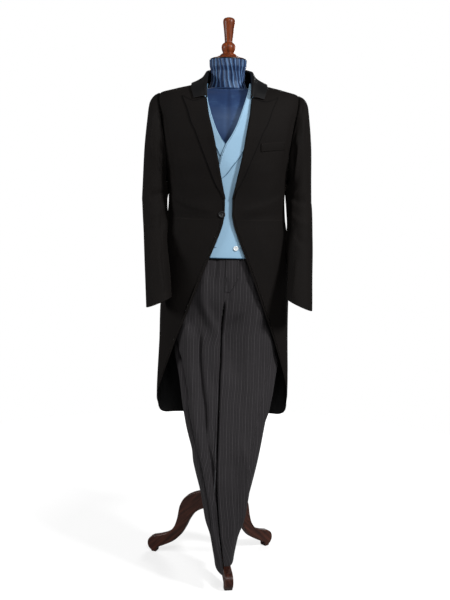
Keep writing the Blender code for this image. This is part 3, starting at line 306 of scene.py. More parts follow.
HUB = [
    (0.006, 0.145), (0.015, 0.145), (0.023, 0.15), (0.0285, 0.16), (0.03, 0.17),
    (0.03, 0.235), (0.03, 0.237), (0.028, 0.24), (0.0262, 0.2425), (0.027, 0.2443),
    (0.0262, 0.246), (0.024, 0.2475), (0.0212, 0.251), (0.0165, 0.26), (0.0165, 0.265),
]
# A leg of the stand, sawn from a board: its upper and lower edges, outwards from the hub.
FOOT_REACH = 0.236
STAND_LEG_TOP = table(
    "out z",
    (0.0303, 0.23), (0.066, 0.2215), (0.092, 0.21), (0.11, 0.195), (0.1256, 0.165),
    (0.133, 0.125), (0.143, 0.096), (0.1615, 0.074), (0.192, 0.06), (0.219, 0.052),
)
STAND_LEG_UNDER = table(
    "out z",
    (0.0303, 0.174), (0.048, 0.168), (0.0712, 0.1525), (0.0909, 0.1255), (0.105, 0.096),
    (0.122, 0.068), (0.142, 0.048), (0.17, 0.031), (0.202, 0.015),
)
STAND_LEG_WIDTH = 0.025
STAND_LEG_TURNS = (-79.5, 40.5, 160.5)  # directions from +X
COAT_BUTTON = dict(radius=0.01, height=0.0034)
COAT_BUTTON_SPOT = dict(z=1.1134, from_edge=2.3)  # degrees from the front's edge
BACK_BUTTON_SPOT = dict(z=WAIST + 0.008, angle=BACK_SEAM + 5.0)
CUFF_BUTTON = dict(radius=0.0072, height=0.0028)
CUFF_BUTTON_HEIGHTS = (0.926, 0.9095, 0.893, 0.8765)
CUFF_BUTTON_TURN = -24.0

NAMES = {-1: "left", 1: "right"}  # as seen from the front
print("stand, floor to tip:", FINIAL[-1][1], "m")

# %% [markdown]
# ## Curves and surfaces
# A tailor's dummy is a stack of rounded sections. Each is a superellipse, |x/a|^n + |y/b|^n = 1,
# which is an ellipse at n = 2 and squarer above it, as a chest is. The sizes between two measured
# heights come from a cubic curve that never swings past its points, so no bulge appears that
# nobody measured. A wall of cloth is such a surface and its copy, moved along the normals.

# %% Reading the tables
def smooth(x, xs, ys):
    """A curve through the points that never overshoots them, flat beyond its ends."""
    if xs[0] > xs[-1]:
        xs, ys = xs[::-1], ys[::-1]
    x = np.clip(x, xs[0], xs[-1])
    steps = np.diff(xs)
    slopes = np.diff(ys) / steps
    both = slopes[:-1] * slopes[1:]
    total = np.where(both > 0, slopes[:-1] + slopes[1:], 1.0)
    inner = np.where(both > 0, 2 * both / total, 0.0)
    m = np.concatenate([slopes[:1], inner, slopes[-1:]])
    i = np.clip(np.searchsorted(xs, x, "right") - 1, 0, len(xs) - 2)
    t = (x - xs[i]) / steps[i]
    rise = ys[i] * (1 + 2 * t) * (1 - t) ** 2 + ys[i + 1] * t**2 * (3 - 2 * t)
    return rise + steps[i] * (m[i] * t * (1 - t) ** 2 + m[i + 1] * t**2 * (t - 1))


def read(source, column, at):
    """A table's column where its first column has the given values."""
    first = next(iter(source))
    return smooth(np.asarray(at, float), source[first], source[column])


def ease(t):
    """0 up to 0, 1 from 1 on, and between them the smooth rise t * t * (3 - 2 * t)."""
    t = np.clip(t, 0, 1)
    return t * t * (3 - 2 * t)


def rounded(sine, cosine, power):
    """Divides a direction so that it ends on a unit superellipse."""
    size = (np.abs(sine) ** power + np.abs(cosine) ** power) ** (1 / power)
    return sine / size, cosine / size


def unit(v):
    """Vectors divided by their length."""
    return v / np.linalg.norm(v, axis=-1, keepdims=True)


def alike(*values):
    """Arrays of numbers, all spread to one shape."""
    return np.broadcast_arrays(*[np.asarray(value, float) for value in values])


def full_turn(count):
    """Evenly spaced angles once round an axis."""
    return np.linspace(0, 2 * math.pi, count, endpoint=False)


# %% The figure under the coat
def depth_at(sections, z, in_front):
    """Half the depth of a body at a height, in front of its middle or behind it."""
    return np.where(in_front, read(sections, "front", z), read(sections, "back", z))


def figure(angle, z):
    """The coat's outer surface: a superellipse at each height, with the flutes added to its size."""
    angle, z = alike(angle, z)
    turn = np.radians(angle)
    across, ahead = rounded(np.sin(turn), np.cos(turn), FIGURE_POWER)
    depth = depth_at(FIGURE, z, ahead > 0)
    flute = np.zeros_like(z)
    for at, width, high, top in zip(*FLUTES.values()):
        apart = (angle - at + 180) % 360 - 180
        flute = flute + high * np.exp(-((apart / width) ** 2)) * ease((top - z) / FLUTE_RISE)
    x = (read(FIGURE, "half_width", z) + flute) * across
    return np.stack([x, -(depth + flute) * ahead, z], -1)


def angle_at(x, z):
    """The angle of the figure's front at a distance from the middle."""
    share = np.clip(np.abs(x) / read(FIGURE, "half_width", z), 0, 0.999) ** FIGURE_POWER
    return np.sign(x) * np.degrees(np.arctan((share / (1 - share)) ** (1 / FIGURE_POWER)))


HALVINGS = 40


def height_at(x, y):
    """The height of the figure's shoulders over a point in plan, by halving."""
    low = np.full(np.shape(x), 1.4)  # below every shoulder point
    high = np.full(np.shape(x), FIGURE["z"][-1])
    for _ in range(HALVINGS):
        z = (low + high) / 2
        depth = depth_at(FIGURE, z, np.asarray(y) < 0)
        size = np.abs(x / read(FIGURE, "half_width", z)) ** FIGURE_POWER + np.abs(y / depth) ** FIGURE_POWER
        low = np.where(size < 1, z, low)
        high = np.where(size < 1, high, z)
    return low


def moved_out(surface, u, v, limits, steps, inside, out):
    """The surface's points, moved along their normals away from the points inside."""
    low, high = limits
    u, v = alike(u, v)
    along_u = surface(np.minimum(u + steps[0], high[0]), v) - surface(np.maximum(u - steps[0], low[0]), v)
    along_v = surface(u, np.minimum(v + steps[1], high[1])) - surface(u, np.maximum(v - steps[1], low[1]))
    points = surface(u, v)
    normal = unit(np.cross(along_u, along_v))
    side = np.sign((normal * (points - inside)).sum(-1, keepdims=True))
    return points + np.asarray(out)[..., None] * side * normal


def coat(angle, z, out=0.0):
    """The figure's surface, moved out along its normal."""
    angle, z = alike(angle, z)
    axis = np.stack([0 * z, 0 * z, z - 0.03], -1)
    limits = ((-400, FIGURE["z"][0]), (400, FIGURE["z"][-1]))
    return moved_out(figure, angle, z, limits, (0.5, 0.0004), axis, out)


def rows_between(low, high, count):
    """Heights spaced evenly along the figure's side, so that the shoulders get their share."""
    fine = np.linspace(low, high, 400)
    run = np.hypot(np.gradient(fine), np.gradient(read(FIGURE, "half_width", fine)))
    length = np.cumsum(run)
    return np.interp(np.linspace(length[0], length[-1], count), length, fine)


def coat_edge(side, z):
    """The front edge's angle on one side, with the opening's small turn added or taken off."""
    turn = OPENING_TURN * ease((OPENING_TOP - z) / 0.2)
    return np.maximum(read(COAT_EDGE, "angle", z) + side * turn, 1.4)


def soft_max(one, two, softness):
    """The larger of two, rounded where they are equal: (a + b + sqrt((a - b)^2 + softness^2)) / 2."""
    return (one + two + np.sqrt((one - two) ** 2 + softness**2)) / 2


# %% The sleeve and its armhole
def clear_of_flank(x, y, z):
    """Moves a sleeve's points outwards to where they just clear the coat's flank."""
    depth = depth_at(FIGURE, z, y < 0)
    share = np.clip(np.abs(y) / depth, 0, 1) ** FIGURE_POWER
    flank = read(FIGURE, "half_width", z) * (1 - share) ** (1 / FIGURE_POWER) + SLEEVE_REST
    return soft_max(x, flank, 0.003)


def sleeve_ring(side, turn, row):
    """A point on the sleeve: turn is 0 outside, 90 in front, 180 by the body."""
    turn, row = alike(turn, row)
    outer = np.stack([read(SLEEVE, "outer_x", row), read(SLEEVE, "outer_z", row)], -1)
    inner = np.stack([read(SLEEVE, "inner_x", row), read(SLEEVE, "inner_z", row)], -1)
    around, ahead = rounded(np.cos(np.radians(turn)), np.sin(np.radians(turn)), SLEEVE_POWER)
    plane = (outer + inner) / 2 + (outer - inner) / 2 * around[..., None]
    hang = np.clip((ELBOW["z"] - plane[..., 1]) / ELBOW["to_cuff"], 0, 1) ** 0.7
    x = plane[..., 0] + side * SLEEVE_SWING[side] * hang
    y = read(SLEEVE, "centre_y", row) - read(SLEEVE, "half_depth", row) * ahead
    x = x + (clear_of_flank(x, y, plane[..., 1]) - x) * ease((row - 3) / 1.5)
    ring = np.stack([side * x, y, plane[..., 1]], -1)
    seam = armhole(side, turn)
    seam[..., 0] += side * 2 * SEAM
    share = ease(row / 2.0)[..., None]
    return seam * (1 - share) + ring * share


def armhole(side, turn):
    """The armhole's seam on the figure: turn is 0 at the shoulder, 90 in front, 180 under the arm."""
    turn = np.radians(np.asarray(turn, float))
    reach = np.where(np.sin(turn) > 0, ARMHOLE["front"], ARMHOLE["back"])
    angle = 90 - reach * np.sin(turn)
    z = ARMHOLE["middle"] + ARMHOLE["half_height"] * np.cos(turn)
    return figure(side * angle, z)


def armhole_angles(z):
    """The armhole's front and back angles at a height."""
    share = np.clip((z - ARMHOLE["middle"]) / ARMHOLE["half_height"], -1, 1)
    open_by = np.sqrt(1 - share**2)
    return 90 - ARMHOLE["front"] * open_by, 90 + ARMHOLE["back"] * open_by


def side_seam(z):
    """Where the side body meets the back, up to its tip at the armhole."""
    _, behind_arm = armhole_angles(z)
    return np.maximum(read(SIDE_BODY_SEAM, "angle", z), behind_arm + 0.8)


def sleeve(side, turn, row, out=0.0):
    """The sleeve's surface, moved out from the middle between its two sides."""
    turn, row = alike(turn, row)
    last = SLEEVE["row"][-1]
    middle = (sleeve_ring(side, turn, row) + sleeve_ring(side, turn + 180, row)) / 2
    limits = ((-720, 0), (720, last))
    return moved_out(lambda t, r: sleeve_ring(side, t, r), turn, row, limits, (1.0, 0.02), middle, out)


# %% The trouser leg
def crotch_share(z):
    """0 where the trousers are one body and 1 where each leg is a tube of its own."""
    return ease((CROTCH_TOP - z) / (CROTCH_TOP - CROTCH))


def front_share(share):
    """Where a front panel's column runs on the leg. A narrow part covers the inner side, which
    faces the other leg, so that the two fronts meet in one line from the fly to the hem."""
    beyond = (share - INNER_SHARE) / (1 - INNER_SHARE)
    return np.where(share < INNER_SHARE, 0.25 / INNER_SHARE * share, 0.25 + 0.75 * beyond)


def trouser_section(side, face, share, z):
    """A point on a trouser panel: share 0 is the fly or inseam, 1 the side seam. Face -1 is the front."""
    share, z = alike(share, z)
    quarter = np.radians(90 * share)
    across, ahead = rounded(np.sin(quarter), np.cos(quarter), FIGURE_POWER)
    depth = read(HIP, "front" if face < 0 else "back", z)
    lean = STAND_X * ahead if face > 0 else 0.0
    hip = np.stack([side * read(HIP, "half_width", z) * across + lean, face * depth * ahead, z], -1)
    leg = LEG[side]
    outer, inner = read(leg, "outer_x", z), read(leg, "inner_x", z)
    half = np.radians(180 * (front_share(share) if face < 0 else share))
    power = np.where((half < math.pi / 2) & (face < 0), LEG_SQUARE, LEG_POWER)
    across, ahead = rounded(-np.cos(half), np.sin(half), power)
    deep = read(leg, "front" if face < 0 else "back", z)
    x = (outer + inner) / 2 + (outer - inner) / 2 * across
    y = read(leg, "centre_y", z) + face * deep * ahead
    tuck = read(leg, "tuck", z) * ease((y - read(leg, "tuck_from", z)) / 0.03 + 1)
    x = x + side * tuck * (1 - across) / 2
    leg_points = np.stack([x, y, z], -1)
    blend = crotch_share(z)[..., None]
    return beside_pole(side, hip * (1 - blend) + leg_points * blend, crotch_share(z))


def beside_pole(side, points, share):
    """Moves a leg's points sideways where they would touch the pole. The seat seam opens round it."""
    apart = (points[..., 1] - STAND_Y) / 0.025
    needed = POLE_CLEARANCE * (1.25 * np.minimum(1, 4 * share) - apart**2)
    wanted = side * (points[..., 0] - STAND_X)
    kept = soft_max(wanted, needed, 0.002)
    moved = points.copy()
    moved[..., 0] = STAND_X + side * np.where(share > 0, kept, wanted)
    return moved


def trouser(side, face, share, z, out=0.0):
    """A panel's surface, moved out from the middle of its leg."""
    share, z = alike(share, z)
    leg = LEG[side]
    blend = crotch_share(z)
    middle_x = side * 0.5 * read(HIP, "half_width", z) * (1 - blend)
    middle_x = middle_x + blend * (read(leg, "outer_x", z) + read(leg, "inner_x", z)) / 2
    inside = np.stack([middle_x, blend * read(leg, "centre_y", z), z], -1)
    limits = ((0, TROUSER_HEM[side] - 0.01), (1, TROUSER_TOP))
    return moved_out(
        lambda s, h: trouser_section(side, face, s, h), share, z, limits, (0.004, 0.001), inside, out
    )


pole_low, pole_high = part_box("stand_pole")
SHIFT = np.array([(pole_low.x + pole_high.x) / 2 - STAND_X, (pole_low.y + pole_high.y) / 2 - STAND_Y, 0.0])
print("the suit's middle lies at", SHIFT.round(4).tolist())

# %% [markdown]
# ## Folds
# Cloth creases where it is bent or pulled: a trouser leg hangs in long troughs from the hip, and a
# sleeve breaks at the elbow. Such a fold could be simulated, but then it falls where it likes.
# Here each one is placed one by one: a bent line over the cloth, with a soft ridge or trough along it.

# %% One fold, and many
RIPPLE_WAVES = 7


def crease(across, along, line, width, height, lean=0.0):
    """A fold's height over the cloth: height * exp(-(distance / width) ** 2). One flank is wider by
    the share lean, and both ends ease to nothing over a fifth of the line."""
    line = np.array(line, float)
    knots = np.arange(len(line), dtype=float)
    steps = np.linspace(0, knots[-1], 4 * len(line) - 3)
    bent = np.stack([smooth(steps, knots, line[:, 0]), smooth(steps, knots, line[:, 1])], -1)
    nearest = np.full(across.shape, 1e9)
    flank, at = np.zeros(across.shape), np.zeros(across.shape)
    for number, (start, end) in enumerate(zip(bent[:-1], bent[1:])):
        run = end - start
        x, y = across - start[0], along - start[1]
        share = np.clip((x * run[0] + y * run[1]) / (run @ run), 0, 1)
        far = np.hypot(x - share * run[0], y - share * run[1])
        closer = far < nearest
        nearest = np.where(closer, far, nearest)
        flank = np.where(closer, np.sign(run[0] * y - run[1] * x), flank)
        at = np.where(closer, (number + share) / (len(bent) - 1), at)
    spread = width * (1 + lean * np.tanh(flank * nearest / (0.3 * width)))
    return height * np.exp(-((nearest / spread) ** 2)) * ease(at / 0.2) * ease((1 - at) / 0.2)


def folded(across, along, folds):
    """All the folds of a piece, added up."""
    total = np.zeros(np.broadcast(across, along).shape)
    across, along = alike(across, along)
    for fold in folds:
        total = total + crease(across, along, *fold)
    return total


def ripple(across, along, seed, height, length=0.09):
    """The slight unevenness of pressed cloth: seven sine waves of random direction and length."""
    chance = np.random.default_rng(seed)
    total = 0.0
    for _ in range(RIPPLE_WAVES):
        turn = chance.uniform(-0.9, 0.9)
        wave, start = length * chance.uniform(0.6, 1.8), chance.uniform(0, 6.3)
        run = across * math.cos(turn) + along * math.sin(turn)
        total = total + np.sin(run * 2 * math.pi / wave + start)
    return height * total / RIPPLE_WAVES


test = folded(np.zeros((1, 3)), np.array([[0.0, 0.5, 1.0]]), [([(0, 0), (0, 1)], 0.1, 0.004)])
print("a 4 mm fold at its two ends and its middle, in mm:", (1000 * test).round(2).tolist())

# %% [markdown]
# ## From a grid to cloth
# A garment piece has two faces and a turned edge. Two grids give the faces, and between their
# borders runs one more line of points, pushed out a little, so that the edge is round as a folded
# seam is. Every point also learns how far it lies from the edge, for the stitching, and where it
# lies on the flat cloth, in metres, for the weave and the stripes.

# %% Making meshes
made = {}  # every piece by its name
cut = {}  # each cloth piece's width, length and area


def in_scene(name, data):
    """A new object in the scene."""
    obj = bpy.data.objects.new(name, data)
    bpy.context.scene.collection.objects.link(obj)
    return obj


def spaced(low, high, count, near):
    """Evenly spaced numbers, with two more close to each end, where the edge turns."""
    even = np.linspace(low, high, count)
    step = near * (1 if high > low else -1)
    closer = [low + step, low + 3 * step], [high - 3 * step, high - step]
    return np.concatenate([even[:1], closer[0], even[1:-1], closer[1], even[-1:]])


def put(name, points, faces, finishes, which=None, cloth=None, edge=None):
    """An object from points and faces in the suit's own place, turned to face out."""
    points = np.asarray(points, float) + SHIFT
    mesh = bpy.data.meshes.new(name)
    mesh.from_pydata(points.tolist(), [], faces if isinstance(faces, list) else faces.tolist())
    mesh.calc_loop_triangles()
    corners = np.empty(len(mesh.loop_triangles) * 3, np.int32)
    mesh.loop_triangles.foreach_get("vertices", corners)
    spots = points[corners.reshape(-1, 3)]
    if np.einsum("ij,ij->i", spots[:, 0], np.cross(spots[:, 1], spots[:, 2])).sum() < 0:
        mesh.flip_normals()
    for finish in finishes:
        mesh.materials.append(finish)
    if which is not None:
        mesh.polygons.foreach_set("material_index", np.asarray(which, np.int32))
    starts = np.empty(len(mesh.loops), np.int32)
    mesh.loops.foreach_get("vertex_index", starts)
    if cloth is not None:
        layer = mesh.uv_layers.new(name="cloth")
        layer.data.foreach_set("uv", np.asarray(cloth, np.float32)[starts].ravel())
    if edge is not None:
        mesh.attributes.new("edge", "FLOAT", "POINT").data.foreach_set("value", np.asarray(edge, np.float32))
    mesh.shade_smooth()
    mesh.update()
    made[name] = in_scene(name, mesh)
    return made[name]


def ring_faces(rows, columns):
    """The numbers of a grid's points, row by row round an axis, and the faces between the rows."""
    number = np.arange(rows * columns).reshape(rows, columns)
    after = np.roll(number, -1, axis=1)
    return number, np.stack([number[:-1], after[:-1], after[1:], number[1:]], -1).reshape(-1, 4).tolist()


def lengths(grid, axis):
    """How far each point of a grid lies along its row or column, measured on the grid."""
    steps = np.linalg.norm(np.diff(grid, axis=axis), axis=-1)
    start = np.zeros_like(np.take(steps, [0], axis=axis))
    return np.concatenate([start, np.cumsum(steps, axis=axis)], axis=axis)


def cloth_area(grid):
    """The area of a grid of four-sided patches."""
    one, two = grid[1:, 1:] - grid[:-1, :-1], grid[1:, :-1] - grid[:-1, 1:]
    return float(np.linalg.norm(np.cross(one, two), axis=-1).sum() / 2)


def shell(name, outer, inner, finishes, grain=None, rounding=0.4, ring=False, start=0.0):
    """Cloth between an outer and an inner grid. The weave runs along the column grain, which lies
    at the distance start from the weave's own zero line."""
    rows, columns = outer.shape[:2]
    number = np.arange(rows * columns).reshape(rows, columns)
    count = number.size
    wide = np.concatenate([number, number[:, :1]], 1) if ring else number
    front = np.stack([wide[:-1, :-1], wide[:-1, 1:], wide[1:, 1:], wide[1:, :-1]], -1).reshape(-1, 4)
    within = np.clip(np.arange(rows), 1, rows - 2)[:, None], np.clip(np.arange(columns), 1, columns - 2)
    if ring:
        within = within[0], np.arange(columns)
    beside = number[within[0], within[1]]
    if ring:
        borders = [number[0], number[-1]]
    else:
        borders = [np.concatenate([number[0], number[1:, -1], number[-1, -2::-1], number[-2:0:-1, 0]])]
    flat_outer, flat_inner = outer.reshape(-1, 3), inner.reshape(-1, 3)
    middles, rims, first = [], [], 2 * count
    for border in borders:
        away = unit(flat_outer[border] - flat_outer[beside.ravel()[border]])
        thick = np.linalg.norm(flat_outer[border] - flat_inner[border], axis=-1, keepdims=True)
        middles.append((flat_outer[border] + flat_inner[border]) / 2 + rounding * thick * away)
        lip = first + np.arange(len(border))
        for one, two in ((border, lip), (lip, border + count)):
            rims.append(np.stack([np.roll(one, -1), one, two, np.roll(two, -1)], -1))
        first += len(border)
    if ring:
        rims[2:] = [face[:, ::-1] for face in rims[2:]]
    faces = np.concatenate([front, front[:, ::-1] + count, *rims])
    which = np.zeros(len(faces), int)
    which[len(front) : 2 * len(front)] = 1 if len(finishes) > 1 else 0
    run_u, run_v = lengths(outer, 1), lengths(outer, 0)
    grain = columns // 2 if grain is None else grain
    cloth = np.stack([run_u - run_u[:, grain : grain + 1] + start, outer[..., 2]], -1).reshape(-1, 2)
    edge = np.minimum(run_v, run_v[-1:] - run_v)
    if not ring:
        edge = np.minimum(edge, np.minimum(run_u, run_u[:, -1:] - run_u))
    edge = edge.ravel()
    ends = np.concatenate(borders)
    points = np.concatenate([flat_outer, flat_inner, *middles])
    cloth, edge = np.concatenate([cloth, cloth, cloth[ends]]), np.concatenate([edge, edge, 0 * ends])
    obj = put(name, points, faces, finishes, which, cloth, edge)
    size = float(run_u[:, -1].max()), float(run_v[-1].max())
    if ring:
        size = size[0] + float(np.linalg.norm(outer[:, 0] - outer[:, -1], axis=-1).max()), size[1]
        area = cloth_area(np.concatenate([outer, outer[:, :1]], 1))
    else:
        area = cloth_area(outer)
    cut[name] = (*size, area)
    return obj


def fitted(obj, nodes):
    """Puts a piece in the place of one node of the frame, or of several."""
    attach(obj, "root")
    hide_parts(*([nodes] if isinstance(nodes, str) else nodes))


def sewn(obj, node):
    """Puts a piece of cloth in its place in the frame, and states the size it was cut to."""
    fitted(obj, node)
    width, length, area = cut[obj.name]
    area = min(area, width * length)
    print(f"{obj.name}: {width:.3f} x {length:.3f} m, {area:.3f} m2, {len(obj.data.polygons)} faces")


# %% [markdown]
# ## Shader arithmetic
# A procedural material is a sum: so much thread, so much noise, a line where the distance to the
# edge is 6 mm. Nodes can do sums, but a page of nodes is hard to read. A small class lets them be
# written as sums, and one method adds any other node.

# %% Wires and finishes
class Wire:
    """A shader's number or colour on its way from one node to the next."""

    def __init__(self, finish, socket):
        self.finish, self.socket = finish, socket

    def sum_of(self, operation, first, second=0.0, held=False):
        """One Math node, held between 0 and 1 if asked."""
        settings = {"operation": operation, "use_clamp": held}
        return self.finish.node("ShaderNodeMath", settings, {0: first, 1: second})

    def __add__(self, other):
        return self.sum_of("ADD", self, other)

    def __sub__(self, other):
        return self.sum_of("SUBTRACT", self, other)

    def __rsub__(self, other):
        return self.sum_of("SUBTRACT", other, self)

    def __mul__(self, other):
        return self.sum_of("MULTIPLY", self, other)

    def __truediv__(self, other):
        return self.sum_of("DIVIDE", self, other)

    def __mod__(self, other):
        return self.sum_of("FLOORED_MODULO", self, other)

    def __pow__(self, other):
        return self.sum_of("POWER", self, other)

    def __abs__(self):
        return self.sum_of("ABSOLUTE", self)

    __radd__, __rmul__ = __add__, __mul__

    def sine(self):
        """The sine of the value in radians."""
        return self.sum_of("SINE", self)

    def held(self):
        """The same number, kept between 0 and 1."""
        return self.sum_of("ADD", self, 0.0, held=True)

    def other(self, output):
        """Another output of the same node."""
        return Wire(self.finish, self.socket.node.outputs[output])


class Finish:
    """A material. Values that are the same all over go to its shader by name."""

    def __init__(self, name, **constants):
        self.made = bpy.data.materials.new(name)
        self.made.use_nodes = True
        self.tree = self.made.node_tree
        self.shader = self.tree.nodes["Principled BSDF"]
        for key, value in constants.items():
            self.shader.inputs[key.replace("_", " ")].default_value = value

    def node(self, kind, settings=None, sockets=None, output=0):
        """Any node: its settings first, then the values and wires of its sockets."""
        node = self.tree.nodes.new(kind)
        for key, value in (settings or {}).items():
            if key == "stops":
                ramp = node.color_ramp.elements
                while len(ramp) < len(value):
                    ramp.new(0.5)
                for stop, (at, colour) in zip(ramp, value):
                    stop.position, stop.color = at, (*colour, 1)
            else:
                setattr(node, key, value)
        self.join(node, sockets or {})
        return Wire(self, node.outputs[output])

    def join(self, node, sockets):
        """Wires go to their sockets as links, and numbers as values."""
        for key, value in sockets.items():
            if isinstance(value, Wire):
                self.tree.links.new(value.socket, node.inputs[key])
            else:
                node.inputs[key].default_value = value

    def feed(self, **sockets):
        """Gives the shader what changes over the surface."""
        self.join(self.shader, {key.replace("_", " "): value for key, value in sockets.items()})
        return self.made

    def cover(self, colour, roughness, height, depth, strength):
        """Gives the shader its colour, its roughness and a relief of that depth in metres."""
        normal = self.relief(height, depth, strength)
        return self.feed(Base_Color=colour, Roughness=roughness, Normal=normal)

    def place(self):
        """The point in space."""
        return self.node("ShaderNodeTexCoord", output="Object")

    def cloth(self):
        """Where a point lies on the flat cloth, in metres: across the grain and along it."""
        spot = self.node("ShaderNodeUVMap", {"uv_map": "cloth"})
        across = self.node("ShaderNodeSeparateXYZ", {}, {0: spot})
        return across, across.other(1)

    def edge(self):
        """The value that each point carries, most often its distance from a cut edge."""
        return self.node("ShaderNodeAttribute", {"attribute_name": "edge"}, output="Fac")

    def spread(self, vector, by):
        """A vector times another, axis by axis."""
        return self.node("ShaderNodeVectorMath", {"operation": "MULTIPLY"}, {0: vector, 1: by})

    def noise(self, vector, scale, detail=3.0, roughness=0.5):
        """Cloudy noise from 0 to 1, finer as the scale grows."""
        sockets = {"Vector": vector, "Scale": scale, "Detail": detail, "Roughness": roughness}
        return self.node("ShaderNodeTexNoise", {}, sockets)

    def blend(self, mask, first, second):
        """From the first colour to the second where the mask rises from 0 to 1."""
        first, second = [c if isinstance(c, Wire) else (*c, 1.0) for c in (first, second)]
        return self.node("ShaderNodeMix", {"data_type": "RGBA"}, {0: mask, 6: first, 7: second}, output=2)

    def relief(self, height, distance, strength):
        """A normal tilted by the height's slope."""
        sockets = {"Strength": strength, "Distance": distance, "Height": height}
        return self.node("ShaderNodeBump", {}, sockets)


STITCH = 0.0035  # length of a stitch and the gap after it
THREAD_HALF_WIDTH = 0.0005


def thread_line(across, pitch, shift, width):
    """1 on parallel lines of that pitch and 0 between them: 1 - distance / half width, held at 0."""
    return (1 - abs((across / pitch + shift) % 1.0 - 0.5) * (2 * pitch / width)).held()


def stitches(across, along, edge, inset):
    """A row of small stitches at one distance from the edge."""
    row = (1 - abs(edge - inset) * (1 / THREAD_HALF_WIDTH)).held()
    dash = ((across + along) / STITCH % 1.0 - 0.35) * 8
    return row * dash.held()


# %% [markdown]
# ## The finishes
# Black worsted is a twill: fine ribs run up to the right, and a short nap gives it a dull brown
# sheen at a glancing angle. The waistcoat is a smoother wool in pale blue. The trousers are grey
# and black stripes, woven of threads that come and go, so no stripe is ever quite whole.

# %% The black worsted and its lining
TWILL = 0.0011  # from rib to rib
SILK_PITCH = 0.0009
WEAVE_PITCH = 0.001  # of the waistcoat's wool


def twill(across, along, slope=1.0):
    """Ribs that climb across the cloth: the sine of across plus slope times along."""
    return ((across + along * slope) * (2 * math.pi / TWILL)).sine() * 0.5 + 0.5


def black_worsted(name, painted_edge_shade=0.0):
    """Ribs, nap and clouds, with a row of stitches, and cut edges lighter from wear and painted sheen. The
    last argument is how much painted shade darkens the cut edge.
    """
    sheen = dict(Sheen_Weight=0.014, Sheen_Roughness=0.38, Sheen_Tint=(0.66, 0.54, 0.47, 1))
    finish = Finish(name, Specular_IOR_Level=0.05, **sheen)
    across, along = finish.cloth()
    place, edge = finish.place(), finish.edge()
    ribs = twill(across, along)
    nap = finish.noise(place, 1400.0, 2.0)
    cloud = finish.noise(place, 9.0, 4.0)
    stitch = stitches(across, along, edge, 0.0055)
    # Wear and painted sheen: the cut edges are lighter in patches.
    wear_and_sheen = (1 - edge / 0.0025).held() * finish.noise(place, 60.0)
    mask = (ribs * 0.3 + nap * 0.55 + cloud * 0.5 - 0.25 + wear_and_sheen * 0.5 - stitch * 0.3).held()
    # Painted shade: a dark line along the cut edges, standing in for the shadow at a lapel's edge.
    painted_shade_mask = (1.5 - edge / 0.0024).held() * painted_edge_shade
    wool = finish.blend(mask, (0.003, 0.0026, 0.0025), (0.0088, 0.0073, 0.0066))
    colour = finish.blend(painted_shade_mask, wool, (0.0006, 0.0006, 0.0008))
    height = ribs * 0.5 + nap * 0.6 - stitch * 2.0 - thread_line(edge, 1.0, 0.5 - 0.006, 0.0016) * 0.6
    return finish.cover(colour, 0.7 + cloud * 0.16 - ribs * 0.06, height, 0.00022, 0.55)


def silk_lining(name, dark, light, rough=0.34):
    """Fine ribs along the weft, and a cloudy lustre."""
    finish = Finish(name, Specular_IOR_Level=0.2)
    _, along = finish.cloth()
    weft = (along * (2 * math.pi / SILK_PITCH)).sine() * 0.5 + 0.5
    cloud = finish.noise(finish.spread(finish.place(), (30.0, 30.0, 6.0)), 1.0, 3.0)
    colour = finish.blend((weft * 0.35 + cloud * 0.65).held(), dark, light)
    return finish.cover(colour, rough + cloud * 0.12, weft, 0.0001, 0.4)


worsted = black_worsted("black_worsted")
# The lapels' worsted has painted shade along its cut edges.
lapel_worsted_edge_shaded = black_worsted("black_lapel_worsted_edge_shaded", painted_edge_shade=0.9)
coat_lining = silk_lining("black_coat_lining", (0.0012, 0.0012, 0.0014), (0.0035, 0.0035, 0.004), 0.5)
coat_finishes = [worsted, coat_lining]

# %% The pale blue wool
def blue_wool(name):
    """A plain weave, the product of two sines, with thick and thin threads and painted shade along its edges.
    """
    finish = Finish(name, Sheen_Weight=0.08, Sheen_Roughness=0.5, Specular_IOR_Level=0.22)
    across, along = finish.cloth()
    place, edge = finish.place(), finish.edge()
    warp = (across * (2 * math.pi / WEAVE_PITCH)).sine()
    weft = (along * (2 * math.pi / WEAVE_PITCH)).sine()
    weave = warp * weft * 0.5 + 0.5
    slub = finish.noise(finish.spread(place, (900.0, 900.0, 90.0)), 1.0, 2.0)
    cloud = finish.noise(place, 14.0, 3.0)
    mask = (weave * 0.25 + slub * 0.45 + cloud * 0.35 - 0.02).held()
    colour = finish.blend(mask, (0.182, 0.316, 0.442), (0.267, 0.409, 0.532))
    # Painted shade: a dark blue line along every cut edge, where the edges throw shadows.
    painted_shade_mask = (1.3 - edge / 0.0022).held()
    colour = finish.blend(painted_shade_mask, colour, (0.03, 0.085, 0.15))
    stitch = stitches(across, along, edge, 0.005)
    colour = finish.blend(stitch * 0.5, colour, (0.16, 0.31, 0.44))
    height = weave * 0.5 + slub * 0.6 - stitch * 1.6
    return finish.cover(colour, 0.68 + cloud * 0.14, height, 0.0002, 0.5)


pale_wool = blue_wool("pale_blue_waistcoat_wool")
blue_lining = silk_lining("pale_blue_silk_lining", (0.26, 0.43, 0.57), (0.34, 0.52, 0.66))
waistcoat_finishes = [pale_wool, blue_lining]

# %% The striped trouser wool
STRIPE = 0.0092  # from one wide stripe to the next


